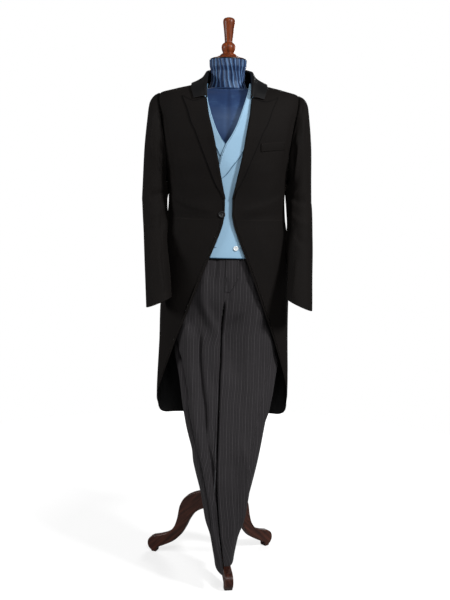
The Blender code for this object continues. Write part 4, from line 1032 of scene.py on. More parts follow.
def striped_wool(name, painted_edge_shade=0.0):
    """Grey lines on charcoal. A wide one every STRIPE, a fine one halfway, and finer ones beside. The last
    argument is how much painted shade darkens the cut edge.
    """
    finish = Finish(name, Sheen_Weight=0.035, Sheen_Roughness=0.4, Specular_IOR_Level=0.08)
    across, along = finish.cloth()
    place, edge = finish.place(), finish.edge()
    drift = finish.noise(place, 5.0, 2.0) - 0.5
    threads = across + drift * 0.0006
    slub = finish.noise(finish.spread(place, (650.0, 650.0, 45.0)), 1.0, 3.0)
    break_up = (finish.noise(place, 420.0, 2.0) * 1.7 - 0.35).held()
    wide = thread_line(threads, STRIPE, 0.0, 0.0026)
    second = thread_line(threads, 2 * STRIPE, 0.25, 0.003)
    fine = thread_line(threads, STRIPE, 0.5, 0.0015)
    finer = thread_line(threads, STRIPE / 2, 0.27, 0.0011)
    stripes = wide * 0.5 + second * 0.3 + fine * 0.38 + finer * 0.26
    stripes = (stripes * (0.45 + break_up * 0.8)).held()
    cloud = finish.noise(place, 10.0, 3.0)
    mask = (slub * 0.7 + cloud * 0.4).held()
    ground = finish.blend(mask, (0.0076, 0.007, 0.0078), (0.023, 0.021, 0.0226))
    colour = finish.blend(stripes, ground, (0.058, 0.054, 0.058))
    # Painted shade along the cut edge, standing in for the shadow of the fly's fold.
    colour = finish.blend((1.4 - edge / 0.002).held() * painted_edge_shade, colour, (0.002, 0.002, 0.002))
    ribs = twill(across, along, 0.8)
    stitch = stitches(across, along, edge, 0.006)
    height = ribs * 0.5 + slub * 0.4 + stripes * 0.4 - stitch
    return finish.cover(colour, 0.72 + cloud * 0.14, height, 0.00022, 0.5)


trouser_wool = striped_wool("striped_trouser_wool")
# The fly's wool has painted shade along its edge.
fly_wool_edge_shaded = striped_wool("striped_fly_wool_edge_shaded", painted_edge_shade=0.4)
trouser_lining = silk_lining("grey_trouser_lining", (0.05, 0.05, 0.055), (0.09, 0.09, 0.095), 0.5)
trouser_finishes = [trouser_wool, trouser_lining]

# %% Satin, paint, wood, iron, horn and pearl
def satin(name):
    """Blue satin with weft threads. Its colour follows the edge attribute: painted shade in the neck's gather
    troughs, painted highlight on their ridges, and darker along the body's seams.
    """
    finish = Finish(name, Specular_IOR_Level=0.35, Sheen_Weight=0.08, Specular_Tint=(0.55, 0.75, 1.0, 1))
    # The edge attribute holds painted light on the neck and a darker tone along the body's seams.
    place, painted_light_and_seam_tone = finish.place(), finish.edge()
    weft = finish.noise(finish.spread(place, (60.0, 60.0, 1500.0)), 1.0, 2.0)
    cloud = finish.noise(place, 22.0, 3.0)
    mask = (painted_light_and_seam_tone * 0.75 + weft * 0.18 + cloud * 0.25 - 0.1).held()
    colour = finish.node(
        "ShaderNodeValToRGB",
        {"stops": [(0.0, (0.001, 0.003, 0.016)), (0.5, (0.01, 0.026, 0.08)), (1.0, (0.105, 0.21, 0.38))]},
        {0: mask},
    )
    return finish.cover(colour, 0.4 + cloud * 0.12, weft, 0.00015, 0.35)


def varnished_wood(name, colour, grain, varnish, own_grain=False):
    """Mahogany under varnish. The grain is noise drawn out along one direction of the place, or of
    the piece's own board."""
    finish = Finish(name, Coat_Weight=varnish, Coat_Roughness=0.24, Specular_IOR_Level=0.14)
    place = finish.place()
    if own_grain:
        across, along = finish.cloth()
        place = finish.node("ShaderNodeCombineXYZ", {}, {0: along, 1: across, 2: 0.0})
    streaks = finish.noise(finish.spread(place, grain), 1.0, 5.0, 0.62)
    pores = finish.noise(finish.spread(place, tuple(4.5 * g for g in grain)), 1.0, 2.0)
    stops = [(0.3, tuple(0.13 * c for c in colour)), (0.52, tuple(0.5 * c for c in colour)), (0.74, colour)]
    shade = finish.node("ShaderNodeValToRGB", {"stops": stops}, {0: streaks})
    pits = ((pores - 0.56) * 7).held()
    shade = finish.blend(pits * 0.6, shade, (0.01, 0.003, 0.002))
    if own_grain:  # a sawn board is rubbed lighter at its corners
        # Its corners are lighter from wear and a painted highlight.
        wear_and_sheen = (1 - finish.edge() / 0.004).held() * streaks
        shade = finish.blend(wear_and_sheen * 0.4, shade, (0.12, 0.045, 0.022))
    return finish.cover(shade, 0.42 + pits * 0.2, pores - pits, 0.00015, 0.4)


def plain_metal(name, dark, light, rough, metallic):
    """Iron or its paint: a fine grain, clouds, and a little wear."""
    finish = Finish(name, Specular_IOR_Level=0.5)
    place = finish.place()
    grain, cloud = finish.noise(place, 700.0, 3.0), finish.noise(place, 25.0, 4.0)
    colour = finish.blend((grain * 0.4 + cloud * 0.6).held(), dark, light)
    finish.feed(Metallic=((cloud - 0.55) * 5).held() * 0.2 + metallic)
    return finish.cover(colour, rough + cloud * 0.15, grain, 0.0001, 0.4)


def horn(name, dark, light, rough, coat):
    """Horn or shell: clouded layers, polished."""
    finish = Finish(name, Specular_IOR_Level=0.3, Coat_Weight=coat, Coat_Roughness=0.1)
    place = finish.place()
    cloud = finish.noise(finish.spread(place, (120.0, 90.0, 60.0)), 1.0, 4.0)
    layer = ((cloud * 9.0).sine() * 0.5 + 0.5) * 0.6 + cloud * 0.4
    colour = finish.blend(layer.held(), dark, light)
    return finish.cover(colour, rough + cloud * 0.1, layer, 0.0001, 0.25)


def sewing_thread(name, colour):
    """Twisted thread: noise drawn out along it."""
    finish = Finish(name, Sheen_Weight=0.3)
    twist = finish.noise(finish.spread(finish.place(), (4000.0, 4000.0, 2500.0)), 1.0, 1.0)
    shade = finish.blend(twist, tuple(0.5 * c for c in colour), colour)
    return finish.cover(shade, 0.6 + twist * 0.2, twist, 0.0001, 0.5)


blue_satin = satin("blue_form_satin")
turned_wood = varnished_wood("turned_mahogany", (0.25, 0.052, 0.012), (150.0, 150.0, 16.0), 0.12)
leg_wood = varnished_wood("sawn_mahogany", (0.07, 0.02, 0.012), (9.0, 120.0, 1.0), 0.22, own_grain=True)
cap_paint = plain_metal("black_cap_paint", (0.004, 0.004, 0.005), (0.012, 0.012, 0.014), 0.32, 0.0)
pole_iron = plain_metal("black_pole_iron", (0.01, 0.01, 0.011), (0.026, 0.025, 0.025), 0.42, 0.3)
black_horn = horn("black_button_horn", (0.001, 0.0009, 0.001), (0.0045, 0.0036, 0.0036), 0.5, 0.03)
pearl = horn("pearl_button_shell", (0.52, 0.56, 0.58), (0.86, 0.84, 0.8), 0.22, 0.6)
black_thread = sewing_thread("black_sewing_thread", (0.012, 0.012, 0.014))
hole_thread = sewing_thread("dark_buttonhole_thread", (0.05, 0.1, 0.16))
pale_thread = sewing_thread("pale_sewing_thread", (0.45, 0.6, 0.7))
print("finishes:", len(bpy.data.materials))

# %% [markdown]
# ## The coat
# A tail coat is cut away in front from the button, so its skirts are a seam apart from its fronts:
# the fronts end at the waist, and each skirt sweeps from there back to a rounded corner. The back
# runs from neck to tail in one length. Each piece below is a patch of the figure between two lines
# of angles, given by the same edge tables as the model. The cloth is pressed, so its folds are few
# and low: pulls from the button to the waist, and soft flutes where the skirts hang free.

# %% A panel of the coat
SIDEWAYS = 0.0031  # metres across the cloth for each degree round the figure
NECK_EASE = 0.06  # the folds end this far below the neck seam


def body_heights(low, high, count):
    """Heights that come closer where the armhole's edge turns."""
    steps = np.array([0.0003, 0.0012, 0.003, 0.006, 0.011])
    near = [ARMHOLE_BOTTOM + steps, ARMHOLE_TOP - steps, [low + 0.0008, low + 0.0024, high - 0.0004]]
    z = np.concatenate([rows_between(low, high, count), *near])
    return np.unique(z[(z >= low) & (z <= high)])


def patch(z, first, last, count, near):
    """Angles and heights of a grid whose rows run from one edge to the other."""
    angle = first[:, None] + (last - first)[:, None] * spaced(0, 1, count, near)
    return angle, z[:, None] + 0 * angle


def coat_piece(name, angle, z, out, thickness, finishes, relief=0.0, grain=None):
    """A patch of the coat's surface. relief is the height of its folds."""
    outer = coat(angle, z, out + relief)
    inner = coat(angle, z, out + relief - thickness)
    return shell(name, outer, inner, finishes, grain)


def coat_panel(word, side, angle, z, relief, grain=None):
    """A panel on one side of the coat, sewn in its place."""
    name = f"{word}_{NAMES[side]}"
    piece = coat_piece(f"black_coat_{name}", side * angle, z, 0.0, COAT_CLOTH, coat_finishes, relief, grain)
    sewn(piece, f"coat_{name}")


# %% Fronts
FRONT_FOLDS = {
    -1: [
        ([(0.03, 1.122), (0.1, 1.135), (0.19, 1.165)], 0.013, 0.0014, 0.3),
        ([(0.05, 1.1), (0.13, 1.104), (0.22, 1.12)], 0.012, -0.0012, 0.0),
        ([(0.19, 1.42), (0.175, 1.36), (0.17, 1.28), (0.19, 1.2)], 0.016, -0.0022, 0.3),
        ([(0.12, 1.3), (0.13, 1.22), (0.125, 1.14)], 0.03, 0.0012, 0.0),
    ],
    1: [
        ([(0.03, 1.12), (0.11, 1.138), (0.2, 1.17)], 0.014, 0.0013, -0.3),
        ([(0.06, 1.104), (0.14, 1.11), (0.23, 1.122)], 0.013, -0.0011, 0.0),
        ([(0.19, 1.42), (0.178, 1.36), (0.175, 1.28), (0.2, 1.2)], 0.017, -0.002, 0.3),
        ([(0.11, 1.26), (0.12, 1.2), (0.118, 1.13)], 0.026, 0.001, 0.0),
    ],
}
coat_z = body_heights(WAIST + SEAM / 2, NECK_TOP, 120)
front_of_arm, _ = armhole_angles(coat_z)
last = np.where(coat_z > ARMHOLE_TOP, 90.0, front_of_arm) - SEAM_ANGLE
for side in (-1, 1):
    angle, z = patch(coat_z, coat_edge(side, coat_z), last, 56, 0.008)
    relief = 1.6 * folded(angle * SIDEWAYS, z, FRONT_FOLDS[side])
    relief = relief + ripple(side * angle * SIDEWAYS, z, 10 + side, 0.0011)
    relief = relief * ease((NECK_TOP - z) / NECK_EASE)
    coat_panel("front", side, angle, z, relief)

# %% Side bodies and backs
side_z = body_heights(WAIST + SEAM / 2, SIDE_BODY_TIP, 70)
_, behind = armhole_angles(side_z)
first = np.where(side_z < ARMHOLE_BOTTOM, 90.0, behind) + SEAM_ANGLE
last = side_seam(side_z) - SEAM_ANGLE
for side in (-1, 1):
    angle, z = patch(side_z, first, last, 30, 0.01)
    relief = ripple(side * angle * SIDEWAYS, z, 20 + side, 0.0009)
    coat_panel("side", side, angle, z, relief)

BACK_FOLDS = [
    ([(0.53, 1.18), (0.5, 1.15), (0.46, 1.135)], 0.012, -0.0016, 0.2),
    ([(0.54, 1.13), (0.5, 1.11), (0.465, 1.108)], 0.01, 0.0012, 0.0),
    ([(0.43, 1.42), (0.45, 1.36), (0.455, 1.28)], 0.02, -0.0022, 0.3),
    ([(0.5, 1.45), (0.47, 1.4), (0.44, 1.33)], 0.024, 0.0016, 0.0),
    ([(0.5, 1.02), (0.49, 0.8), (0.5, 0.58)], 0.02, 0.003, 0.3),
]
below = spaced(TAIL_END + 0.001, WAIST - 0.01, 90, 0.0008)[:-3]
back_z = np.concatenate([below, body_heights(WAIST - 0.008, NECK_TOP, 110)])
_, behind = armhole_angles(back_z)
seam = np.where(back_z <= SIDE_BODY_TIP, side_seam(back_z), behind)
seam = np.where(back_z > ARMHOLE_TOP, 90.0, seam)
vent = SEAM_ANGLE + 0.6 * ease((WAIST - 0.03 - back_z) / 0.5)
for side in (-1, 1):
    angle, z = patch(back_z, seam + SEAM_ANGLE, 180 - vent, 34, 0.012)
    relief = folded(angle * SIDEWAYS, z, BACK_FOLDS) + ripple(side * angle * SIDEWAYS, z, 30 + side, 0.0012)
    relief = relief * ease((NECK_TOP - z) / NECK_EASE)
    coat_panel("back", side, angle, z, relief)

# %% Skirts
SKIRT_FOLDS = {
    -1: [
        ([(0.26, 1.05), (0.27, 0.9), (0.3, 0.72), (0.31, 0.52)], 0.018, 0.003, 0.3),
        ([(0.33, 1.04), (0.34, 0.86), (0.37, 0.66), (0.39, 0.5)], 0.02, -0.003, 0.0),
        ([(0.41, 1.06), (0.42, 0.88), (0.43, 0.64), (0.44, 0.49)], 0.016, 0.0032, -0.3),
        ([(0.1, 1.075), (0.14, 1.02), (0.17, 0.93)], 0.016, -0.0012, 0.0),
    ],
    1: [
        ([(0.25, 1.04), (0.27, 0.88), (0.29, 0.7), (0.31, 0.53)], 0.019, 0.0028, 0.3),
        ([(0.34, 1.05), (0.35, 0.84), (0.36, 0.62), (0.38, 0.49)], 0.017, -0.0028, 0.0),
        ([(0.42, 1.05), (0.42, 0.86), (0.44, 0.66), (0.445, 0.5)], 0.018, 0.0034, 0.3),
        ([(0.12, 1.07), (0.15, 1.0), (0.17, 0.9)], 0.017, -0.0012, 0.0),
    ],
}
SKIRT_GRAIN = 60  # the column that the weave runs along
fall = spaced(0, 1, 110, 0.0012)
top = WAIST - SEAM / 2
for side in (-1, 1):
    corner = SKIRT_HEM["z"][1]
    edge = coat_edge(side, top + fall * (corner - top))
    angle = edge[:, None] + (BACK_SEAM - SEAM_ANGLE - edge)[:, None] * spaced(0, 1, 74, 0.005)
    z = top + fall[:, None] * (read(SKIRT_HEM, "z", angle) - top)
    relief = folded(angle * SIDEWAYS, z, SKIRT_FOLDS[side])
    relief = relief + ripple(side * angle * SIDEWAYS, z, 40 + side, 0.0013)
    relief = relief * ease((top - z) / 0.05)
    coat_panel("skirt", side, angle, z, relief, SKIRT_GRAIN)

# %% [markdown]
# ## The sleeves
# A tailored sleeve has two pieces and a bend at the elbow. It hangs from the armhole, and the cloth
# that the bend leaves over gathers into a few slanting breaks in front of the elbow. More cloth is
# eased in at the shoulder, which drops from there in soft upright folds before and behind the arm.

# %% Sleeves
ROUND, DOWN = 0.00125, 0.065  # metres for each degree round the sleeve and each row down it

SLEEVE_FOLDS = {
    -1: [
        ([(54, 0.7), (58, 1.5), (66, 2.6), (80, 3.9)], 0.01, 0.003, 0.3),
        ([(100, 0.9), (108, 1.8), (116, 2.9), (118, 4.0)], 0.011, -0.0036, 0.2),
        ([(20, 0.8), (24, 1.9), (36, 3.2)], 0.012, -0.0016, 0.0),
        ([(150, 4.7), (112, 5.2), (70, 5.5)], 0.011, -0.0032, 0.35),
        ([(146, 5.4), (110, 5.9), (62, 6.1)], 0.012, 0.003, -0.3),
        ([(140, 6.3), (104, 6.7), (52, 6.7)], 0.012, -0.003, 0.3),
        ([(128, 7.1), (96, 7.5), (40, 7.6)], 0.014, 0.0022, 0.0),
        ([(100, 7.2), (112, 8.0), (120, 8.8)], 0.014, 0.0026, 0.2),
        ([(-70, 4.6), (-40, 5.2), (-5, 5.4)], 0.014, -0.0024, 0.3),
        ([(-78, 5.9), (-44, 6.2), (-8, 6.2)], 0.014, 0.002, 0.0),
        ([(-60, 0.9), (-66, 2.0), (-60, 3.4)], 0.013, -0.0026, 0.2),
        ([(-100, 1.0), (-108, 2.2), (-104, 3.6)], 0.014, -0.003, 0.0),
        ([(210, 5.0), (236, 5.6), (262, 5.8)], 0.014, -0.0022, 0.2),
    ],
    1: [
        ([(86, 0.8), (96, 1.8), (112, 3.0), (122, 4.4)], 0.011, 0.0032, 0.3),
        ([(112, 0.9), (124, 1.9), (134, 3.0)], 0.01, -0.003, 0.2),
        ([(46, 0.8), (50, 1.9), (62, 3.4)], 0.012, -0.0022, 0.2),
        ([(120, 4.6), (128, 5.6), (140, 6.6)], 0.013, 0.0026, 0.0),
        ([(142, 4.9), (100, 5.4), (60, 5.5)], 0.011, -0.003, 0.35),
        ([(136, 5.8), (96, 6.2), (46, 6.3)], 0.012, 0.0026, -0.3),
        ([(126, 6.7), (92, 7.0), (38, 7.1)], 0.012, -0.0026, 0.3),
        ([(112, 7.4), (120, 8.2), (124, 8.9)], 0.013, 0.0026, 0.2),
        ([(-72, 4.7), (-38, 5.3), (-2, 5.5)], 0.014, -0.0022, 0.3),
        ([(-76, 6.0), (-40, 6.4), (-6, 6.4)], 0.014, 0.002, 0.0),
        ([(-58, 0.9), (-64, 2.1), (-58, 3.5)], 0.013, -0.0026, 0.2),
        ([(-102, 1.0), (-110, 2.1), (-106, 3.7)], 0.014, -0.0028, 0.0),
        ([(212, 5.1), (240, 5.6), (264, 5.9)], 0.014, -0.0022, 0.2),
    ],
}


# Soft ridges on the side that leans on the coat: row, reach and height.
SLEEVE_RIDGES = {
    -1: ((2.95, 0.5, 0.0056), (4.3, 0.9, 0.0086), (6.35, 0.5, 0.0086)),
    1: ((2.95, 0.5, 0.0058), (4.2, 0.9, 0.0086), (5.6, 0.8, 0.0032), (7.05, 0.6, 0.0086)),
}


def sleeve_relief(side, turn, row):
    """The sleeve's folds. A turn below -120 and its like a full turn on are the same place."""
    lines = [([(a * ROUND, b * DOWN) for a, b in line], *rest) for line, *rest in SLEEVE_FOLDS[side]]
    again = [([(a + 360 * ROUND, b) for a, b in line], *rest) for line, *rest in lines if line[0][0] < 0]
    relief = 1.5 * folded(turn * ROUND, row * DOWN, lines + again)
    inner_side = np.exp(-(((turn - 180) / 50) ** 2))
    ridges = sum(high * np.exp(-(((row - at) / reach) ** 2)) for at, reach, high in SLEEVE_RIDGES[side])
    inner_side = inner_side * ridges
    lobes = np.sin(np.radians(turn)) * 0.05, row * DOWN
    relief = relief + ripple(*lobes, 50 + side, 0.0014)
    fullness = 0.0016 * np.exp(-(((row - 0.55) / 0.35) ** 2)) * np.clip(np.cos(np.radians(turn)), 0, 1)
    return relief * ease(row / 0.8) * (1 - 0.6 * ease((row - 8.3) / 0.7)) + fullness + inner_side


shoulder, arm = np.linspace(0.1, 1.9, 34), np.linspace(1.97, 8.93, 112)
rows = np.concatenate([[0, 0.015, 0.05], shoulder, arm, [8.96, 8.985, 9.0]])
for side in (-1, 1):
    spans = {"top": (-HINDARM_SEAM, FOREARM_SEAM, 66), "under": (FOREARM_SEAM, 360 - HINDARM_SEAM, 46)}
    for word, (first, last, count) in spans.items():
        turn = spaced(first + 0.25, last - 0.25, count, 0.6)[None, :] + 0 * rows[:, None]
        row = rows[:, None] + 0 * turn
        relief = sleeve_relief(side, turn, row)
        outer, inner = sleeve(side, turn, row, relief), sleeve(side, turn, row, relief - COAT_CLOTH)
        name = NAMES[side]
        piece = shell(f"black_{word}_sleeve_{name}", outer, inner, coat_finishes)
        sewn(piece, f"{word}_sleeve_{name}")

# %% [markdown]
# ## Lapels and collar
# A lapel is the front itself, turned back along the roll line, so its inner edge is not a cut edge
# but a soft roll. The patch therefore starts round the edge of the front, climbs over it and then
# lies flat, with a little air under the roll. The collar goes on from it round the neck: it stands
# up, folds over and falls, and its section is carried along the neck seam.

# %% Lapels
def through(points, at):
    """A smooth curve through the points of the first axis: between two of them a cubic whose slope
    at each point is that of the line between its neighbours."""
    index = np.clip(at.astype(int), 0, len(points) - 2)
    slope = np.gradient(points, axis=0)
    t = (at - index).reshape(-1, *[1] * (points.ndim - 1))
    near = points[index] * (1 + 2 * t) * (1 - t) ** 2 + slope[index] * t * (1 - t) ** 2
    return near + points[index + 1] * t**2 * (3 - 2 * t) + slope[index + 1] * t**2 * (t - 1)


ROLL_AIR = 0.0022  # the height of the air under the roll
over = np.radians([82, 60, 38, 18])  # how far round the roll the first columns lie
across = spaced(0, 1, 26, 0.012)
low = LAPEL_EDGE["z"][0]
up = spaced(0, 1, 110, 0.003)[:, None]
for side, name in NAMES.items():
    top = read(LAPEL_TOP, "z", across)
    z_flat = low + up * (top - low)
    z_roll = low + up * (top[0] - low) + 0 * over
    z = np.concatenate([z_roll, z_flat], 1)
    edge = coat_edge(side, z)
    outer = np.maximum(read(LAPEL_EDGE, "angle", z) + side * OPENING_TURN / 2, edge + 0.8)
    share = np.concatenate([0 * over, across])
    back = np.concatenate([np.sin(over), 0 * across])
    angle = edge * (1 - share) + outer * share - back
    lift = (LAYER + COAT_CLOTH) * np.concatenate([np.cos(over), 1 + 0 * across])
    belly = ROLL_AIR * np.exp(-((share / 0.28) ** 2)) * (lift / lift.max()) * ease((z - low) / 0.06)
    belly = belly * ease((1.45 - z) / 0.05)
    shape = side * angle, z, lift + belly, COAT_CLOTH
    piece = coat_piece(f"black_lapel_{name}", *shape, [lapel_worsted_edge_shaded, coat_lining])
    sewn(piece, f"coat_lapel_{name}")

# %% Collar and welt
def collar_line(columns, along):
    """A curve of the collar, from the gorge at -1 round the back at 0 to the other gorge at 1."""
    at = 1 - np.abs(along)
    line = [read(COLLAR, column, at) for column in columns]
    line[0] = np.sign(along) * line[0]
    return np.stack(line, -1)


along = spaced(-1, 1, 150, 0.004)
base = collar_line(("base_x", "base_y", "base_z"), along)
fold = collar_line(("fold_x", "fold_y", "fold_z"), along)
plan = collar_line(("edge_x", "edge_y"), along)
lift = SEAM + COAT_CLOTH + 0.0016  # the collar's outer side over the coat's
edge = np.concatenate([plan, (height_at(plan[:, 0], plan[:, 1]) + lift)[:, None]], 1)
away = edge - fold
away[:, 2] = 0
away = unit(away)
middle = fold - (0, 0, COLLAR_FOLD)
section = [base, base * 0.5 + (middle - COLLAR_FOLD * away) * 0.5]
for turn in np.radians([180, 135, 90, 45, 10]):
    section.append(middle + COLLAR_FOLD * (math.cos(turn) * away + (0, 0, math.sin(turn))))
bend = fold + COLLAR_BEND * away
level = (COLLAR_BEND / np.linalg.norm((edge - fold)[:, :2], axis=-1))[:, None]
straight = read(COLLAR, "straight", 1 - np.abs(along))
lying = height_at(bend[:, 0], bend[:, 1]) + lift
bend[:, 2] = lying + straight * np.maximum((fold * (1 - level) + edge * level)[:, 2] - lying, 0)
half_way = (bend + edge) / 2
lying = height_at(half_way[:, 0], half_way[:, 1]) + lift
half_way[:, 2] = lying + straight * np.maximum(half_way[:, 2] - lying, 0)
section = np.stack([*section, bend, half_way, edge])
stand, bent, fallen = np.linspace(0.12, 2, 9)[:-1], np.arange(2, 6, 0.34), np.linspace(6, 9, 18)[:-1]
at = np.concatenate([[0, 0.03], stand, bent, fallen, [8.97, 9]])
grid = through(section, at).transpose(1, 0, 2)
normal = unit(np.cross(np.gradient(grid, axis=1), np.gradient(grid, axis=0)))
collar = shell("black_collar", grid, grid - COLLAR_CLOTH * normal, coat_finishes, 0)
sewn(collar, "coat_collar")

WELT = dict(x=0.096, width=0.07, z=1.2965, slant=0.008, height=0.0225, cloth=0.0016)
share, up = spaced(0, 1, 44, 0.008)[None, :], spaced(0, 1, 12, 0.03)[:, None]
z = WELT["z"] + WELT["slant"] * share + WELT["height"] * up
angle = angle_at(WELT["x"] + WELT["width"] * share + 0 * up, z)
crown = 0.0006 * np.sin(math.pi * up) + 0 * share
shape = angle, z, LAYER + WELT["cloth"], WELT["cloth"]
welt = coat_piece("black_breast_welt", *shape, [worsted, worsted], crown)
sewn(welt, "breast_welt")

# %% [markdown]
# ## Buttons
# A coat button is a turned disc of horn with a raised rim and four holes, sewn on with thread that
# crosses the dish in two bars. Its profile is turned round an axis, the holes are dips in the dish,
# and each bar of thread is a thin tube that bends over from hole to hole.

# %% One button, and all of them
TUBE_SIDES = 8
BUTTON_SEAT = 0.0006  # gap under a coat button


def closed_rings(rings):
    """Faces between rings of points, with a fan to one more point at either end."""
    number, faces = ring_faces(*rings.shape[:2])
    first, last = number.size, number.size + 1
    faces += [[first, b, a] for a, b in zip(number[0], np.roll(number[0], -1))]
    faces += [[last, a, b] for a, b in zip(number[-1], np.roll(number[-1], -1))]
    points = np.concatenate([rings.reshape(-1, 3), [rings[0].mean(0)], [rings[-1].mean(0)]])
    return points, faces


def joined(parts):
    """Several closed shapes as one: their points, their faces and the finish of each face."""
    points, faces, which, start = [], [], [], 0
    for spots, corners, finish in parts:
        points.append(spots)
        faces += [[c + start for c in face] for face in corners]
        which += [finish] * len(corners)
        start += len(spots)
    return np.concatenate(points), faces, which


def tube(path, radius):
    """A thin round tube along a path of points, with closed ends."""
    run = unit(np.gradient(path, axis=0))
    across = unit(np.cross(run, (0.31, 0.17, 0.93)))
    up = np.cross(across, run)
    turn = full_turn(TUBE_SIDES)[None, :, None]
    return path[:, None] + radius * (np.cos(turn) * across[:, None] + np.sin(turn) * up[:, None])


# A button's profile from its middle: shares of its radius and of its height.
DISH = np.array([
    (0.04, 0.6), (0.15, 0.6), (0.28, 0.61), (0.4, 0.63), (0.5, 0.66), (0.6, 0.72),
    (0.68, 0.84), (0.75, 0.95), (0.83, 1.0), (0.9, 0.98), (0.96, 0.88), (1.0, 0.68),
    (0.99, 0.42), (0.94, 0.2), (0.84, 0.05), (0.7, 0.0),
])
IN_DISH = 15  # the points of the fine profile that the four holes may dip


def button_parts(centre, normal, radius, height):
    """A dished disc with four holes, and two bars of thread from hole to hole."""
    normal = unit(np.asarray(normal, float))
    side = unit(np.cross(normal, (0.0, 0.0, 1.0)))
    up = np.cross(side, normal)
    profile = through(DISH, np.linspace(0, len(DISH) - 1, 34))
    turn = full_turn(42)
    x = radius * profile[:, :1] * np.cos(turn)
    y = radius * profile[:, :1] * np.sin(turn)
    hole = radius * 0.2
    apart = np.hypot(np.abs(x) - hole, np.abs(y) - hole)
    on_top = np.arange(len(profile))[:, None] < IN_DISH
    dip = np.where(on_top, 0.45 * np.exp(-((apart / (radius * 0.1)) ** 4)), 0)
    z = height * (profile[:, 1:] - dip)

    def place(x, y, z):
        return np.asarray(centre) + x[..., None] * side + y[..., None] * up + z[..., None] * normal

    parts = [(*closed_rings(place(x, y, z)), 0)]
    bow = np.linspace(-1, 1, 11)
    for level in (-1, 1):
        for beside in (-0.22, 0.22):
            high = height * (0.42 + 0.36 * (1 - bow**4))
            path = place(hole * bow, 0 * bow + level * hole + beside * radius * 0.1, high)
            parts.append((*closed_rings(tube(path, radius * 0.03)), 1))
    return parts


def buttons(name, nodes, spots, size, finishes):
    """Buttons as one mesh: spots holds the centre and the normal of each."""
    parts = [part for centre, normal in spots for part in button_parts(centre, normal, **size)]
    points, faces, which = joined(parts)
    fitted(put(name, points, faces, finishes, which), nodes)


def surface_normal(place, *at):
    """The way out of a surface, which takes the distance out of it as its last value."""
    return unit(place(*at, 0.001) - place(*at, 0.0))


horn_and_thread, pearl_and_thread = [black_horn, black_thread], [pearl, pale_thread]
z = COAT_BUTTON_SPOT["z"]
angle = -float(coat_edge(-1, z)) - COAT_BUTTON_SPOT["from_edge"]
spot = (coat(angle, z, SEAM + BUTTON_SEAT), surface_normal(coat, angle, z))
buttons("horn_front_button", "coat_button", [spot], COAT_BUTTON, horn_and_thread)
for side, name in NAMES.items():
    angle, z = side * BACK_BUTTON_SPOT["angle"], BACK_BUTTON_SPOT["z"]
    spot = (coat(angle, z, SEAM + BUTTON_SEAT), surface_normal(coat, angle, z))
    node = f"back_button_{name}"
    buttons(f"horn_back_button_{name}", node, [spot], COAT_BUTTON, horn_and_thread)
    rows_near = np.linspace(7, 9, 400)
    heights = sleeve(side, CUFF_BUTTON_TURN, rows_near)[:, 2]
    spots = []
    for height in CUFF_BUTTON_HEIGHTS:
        at = side, CUFF_BUTTON_TURN, float(rows_near[np.abs(heights - height).argmin()])
        relief = float(sleeve_relief(side, np.array([[at[1]]]), np.array([[at[2]]]))[0, 0])
        spots.append((sleeve(*at, SEAM + max(relief, 0)), surface_normal(sleeve, *at)))
    nodes = [f"cuff_button_{name}_{number}" for number in range(1, 5)]
    buttons(f"horn_cuff_buttons_{name}", nodes, spots, CUFF_BUTTON, horn_and_thread)

# %% [markdown]
# ## The waistcoat
# The waistcoat wraps over in front, with the +X front on top, and its lapels lie along the V. It is
# hidden behind and at the sides, so its back is plain lining. It lies close under the coat, so its
# folds are only the small pulls that its buttons make.

# %% Waistcoat fronts
def waistcoat_edge(side, z):
    """Distance of a front's inner edge from the middle, towards its own side."""
    if side > 0:
        return read(WAISTCOAT_LAP, "x", z)
    return read(WAISTCOAT_UNDERLAP, "x", z)


WAISTCOAT_FOLDS = [
    ([(0.1, 1.142), (0.055, 1.143), (0.02, 1.15)], 0.007, -0.001, 0.2),
    ([(0.1, 1.082), (0.05, 1.083), (0.0, 1.078)], 0.007, -0.0011, 0.0),
    ([(0.1, 1.035), (0.06, 1.026), (0.03, 1.017)], 0.008, 0.001, 0.0),
    ([(0.06, 1.21), (0.05, 1.16), (0.055, 1.1)], 0.012, 0.001, 0.0),
]
WAISTCOAT_SIDEWAYS = 0.0023  # metres across the cloth for each degree
WAISTCOAT_TOP = 1.5
HEM_STEPS = np.array([0, 0.0006, 0.0018])  # extra rows where the hem's edge turns
waistcoat_z = [HEM_STEPS + WAISTCOAT_HEM, rows_between(WAISTCOAT_HEM, WAISTCOAT_TOP, 130)]
waistcoat_z = np.unique(np.concatenate(waistcoat_z))
last = np.minimum(read(WAISTCOAT_ARMHOLE, "front", waistcoat_z), 89.9)
for side, name in NAMES.items():
    first = angle_at(waistcoat_edge(side, waistcoat_z), waistcoat_z)
    angle, z = patch(waistcoat_z, first, last, 54, 0.006)
    relief = folded(angle * WAISTCOAT_SIDEWAYS, z, WAISTCOAT_FOLDS)
    relief = relief + ripple(side * angle * WAISTCOAT_SIDEWAYS, z, 60 + side, 0.0007)
    relief = relief - (0.0006 if side < 0 else 0.0)
    shape = side * angle, z, -WAISTCOAT_DEPTH[side], WAISTCOAT_CLOTH
    piece = coat_piece(f"blue_waistcoat_front_{name}", *shape, waistcoat_finishes, relief)
    sewn(piece, f"waistcoat_front_{name}")

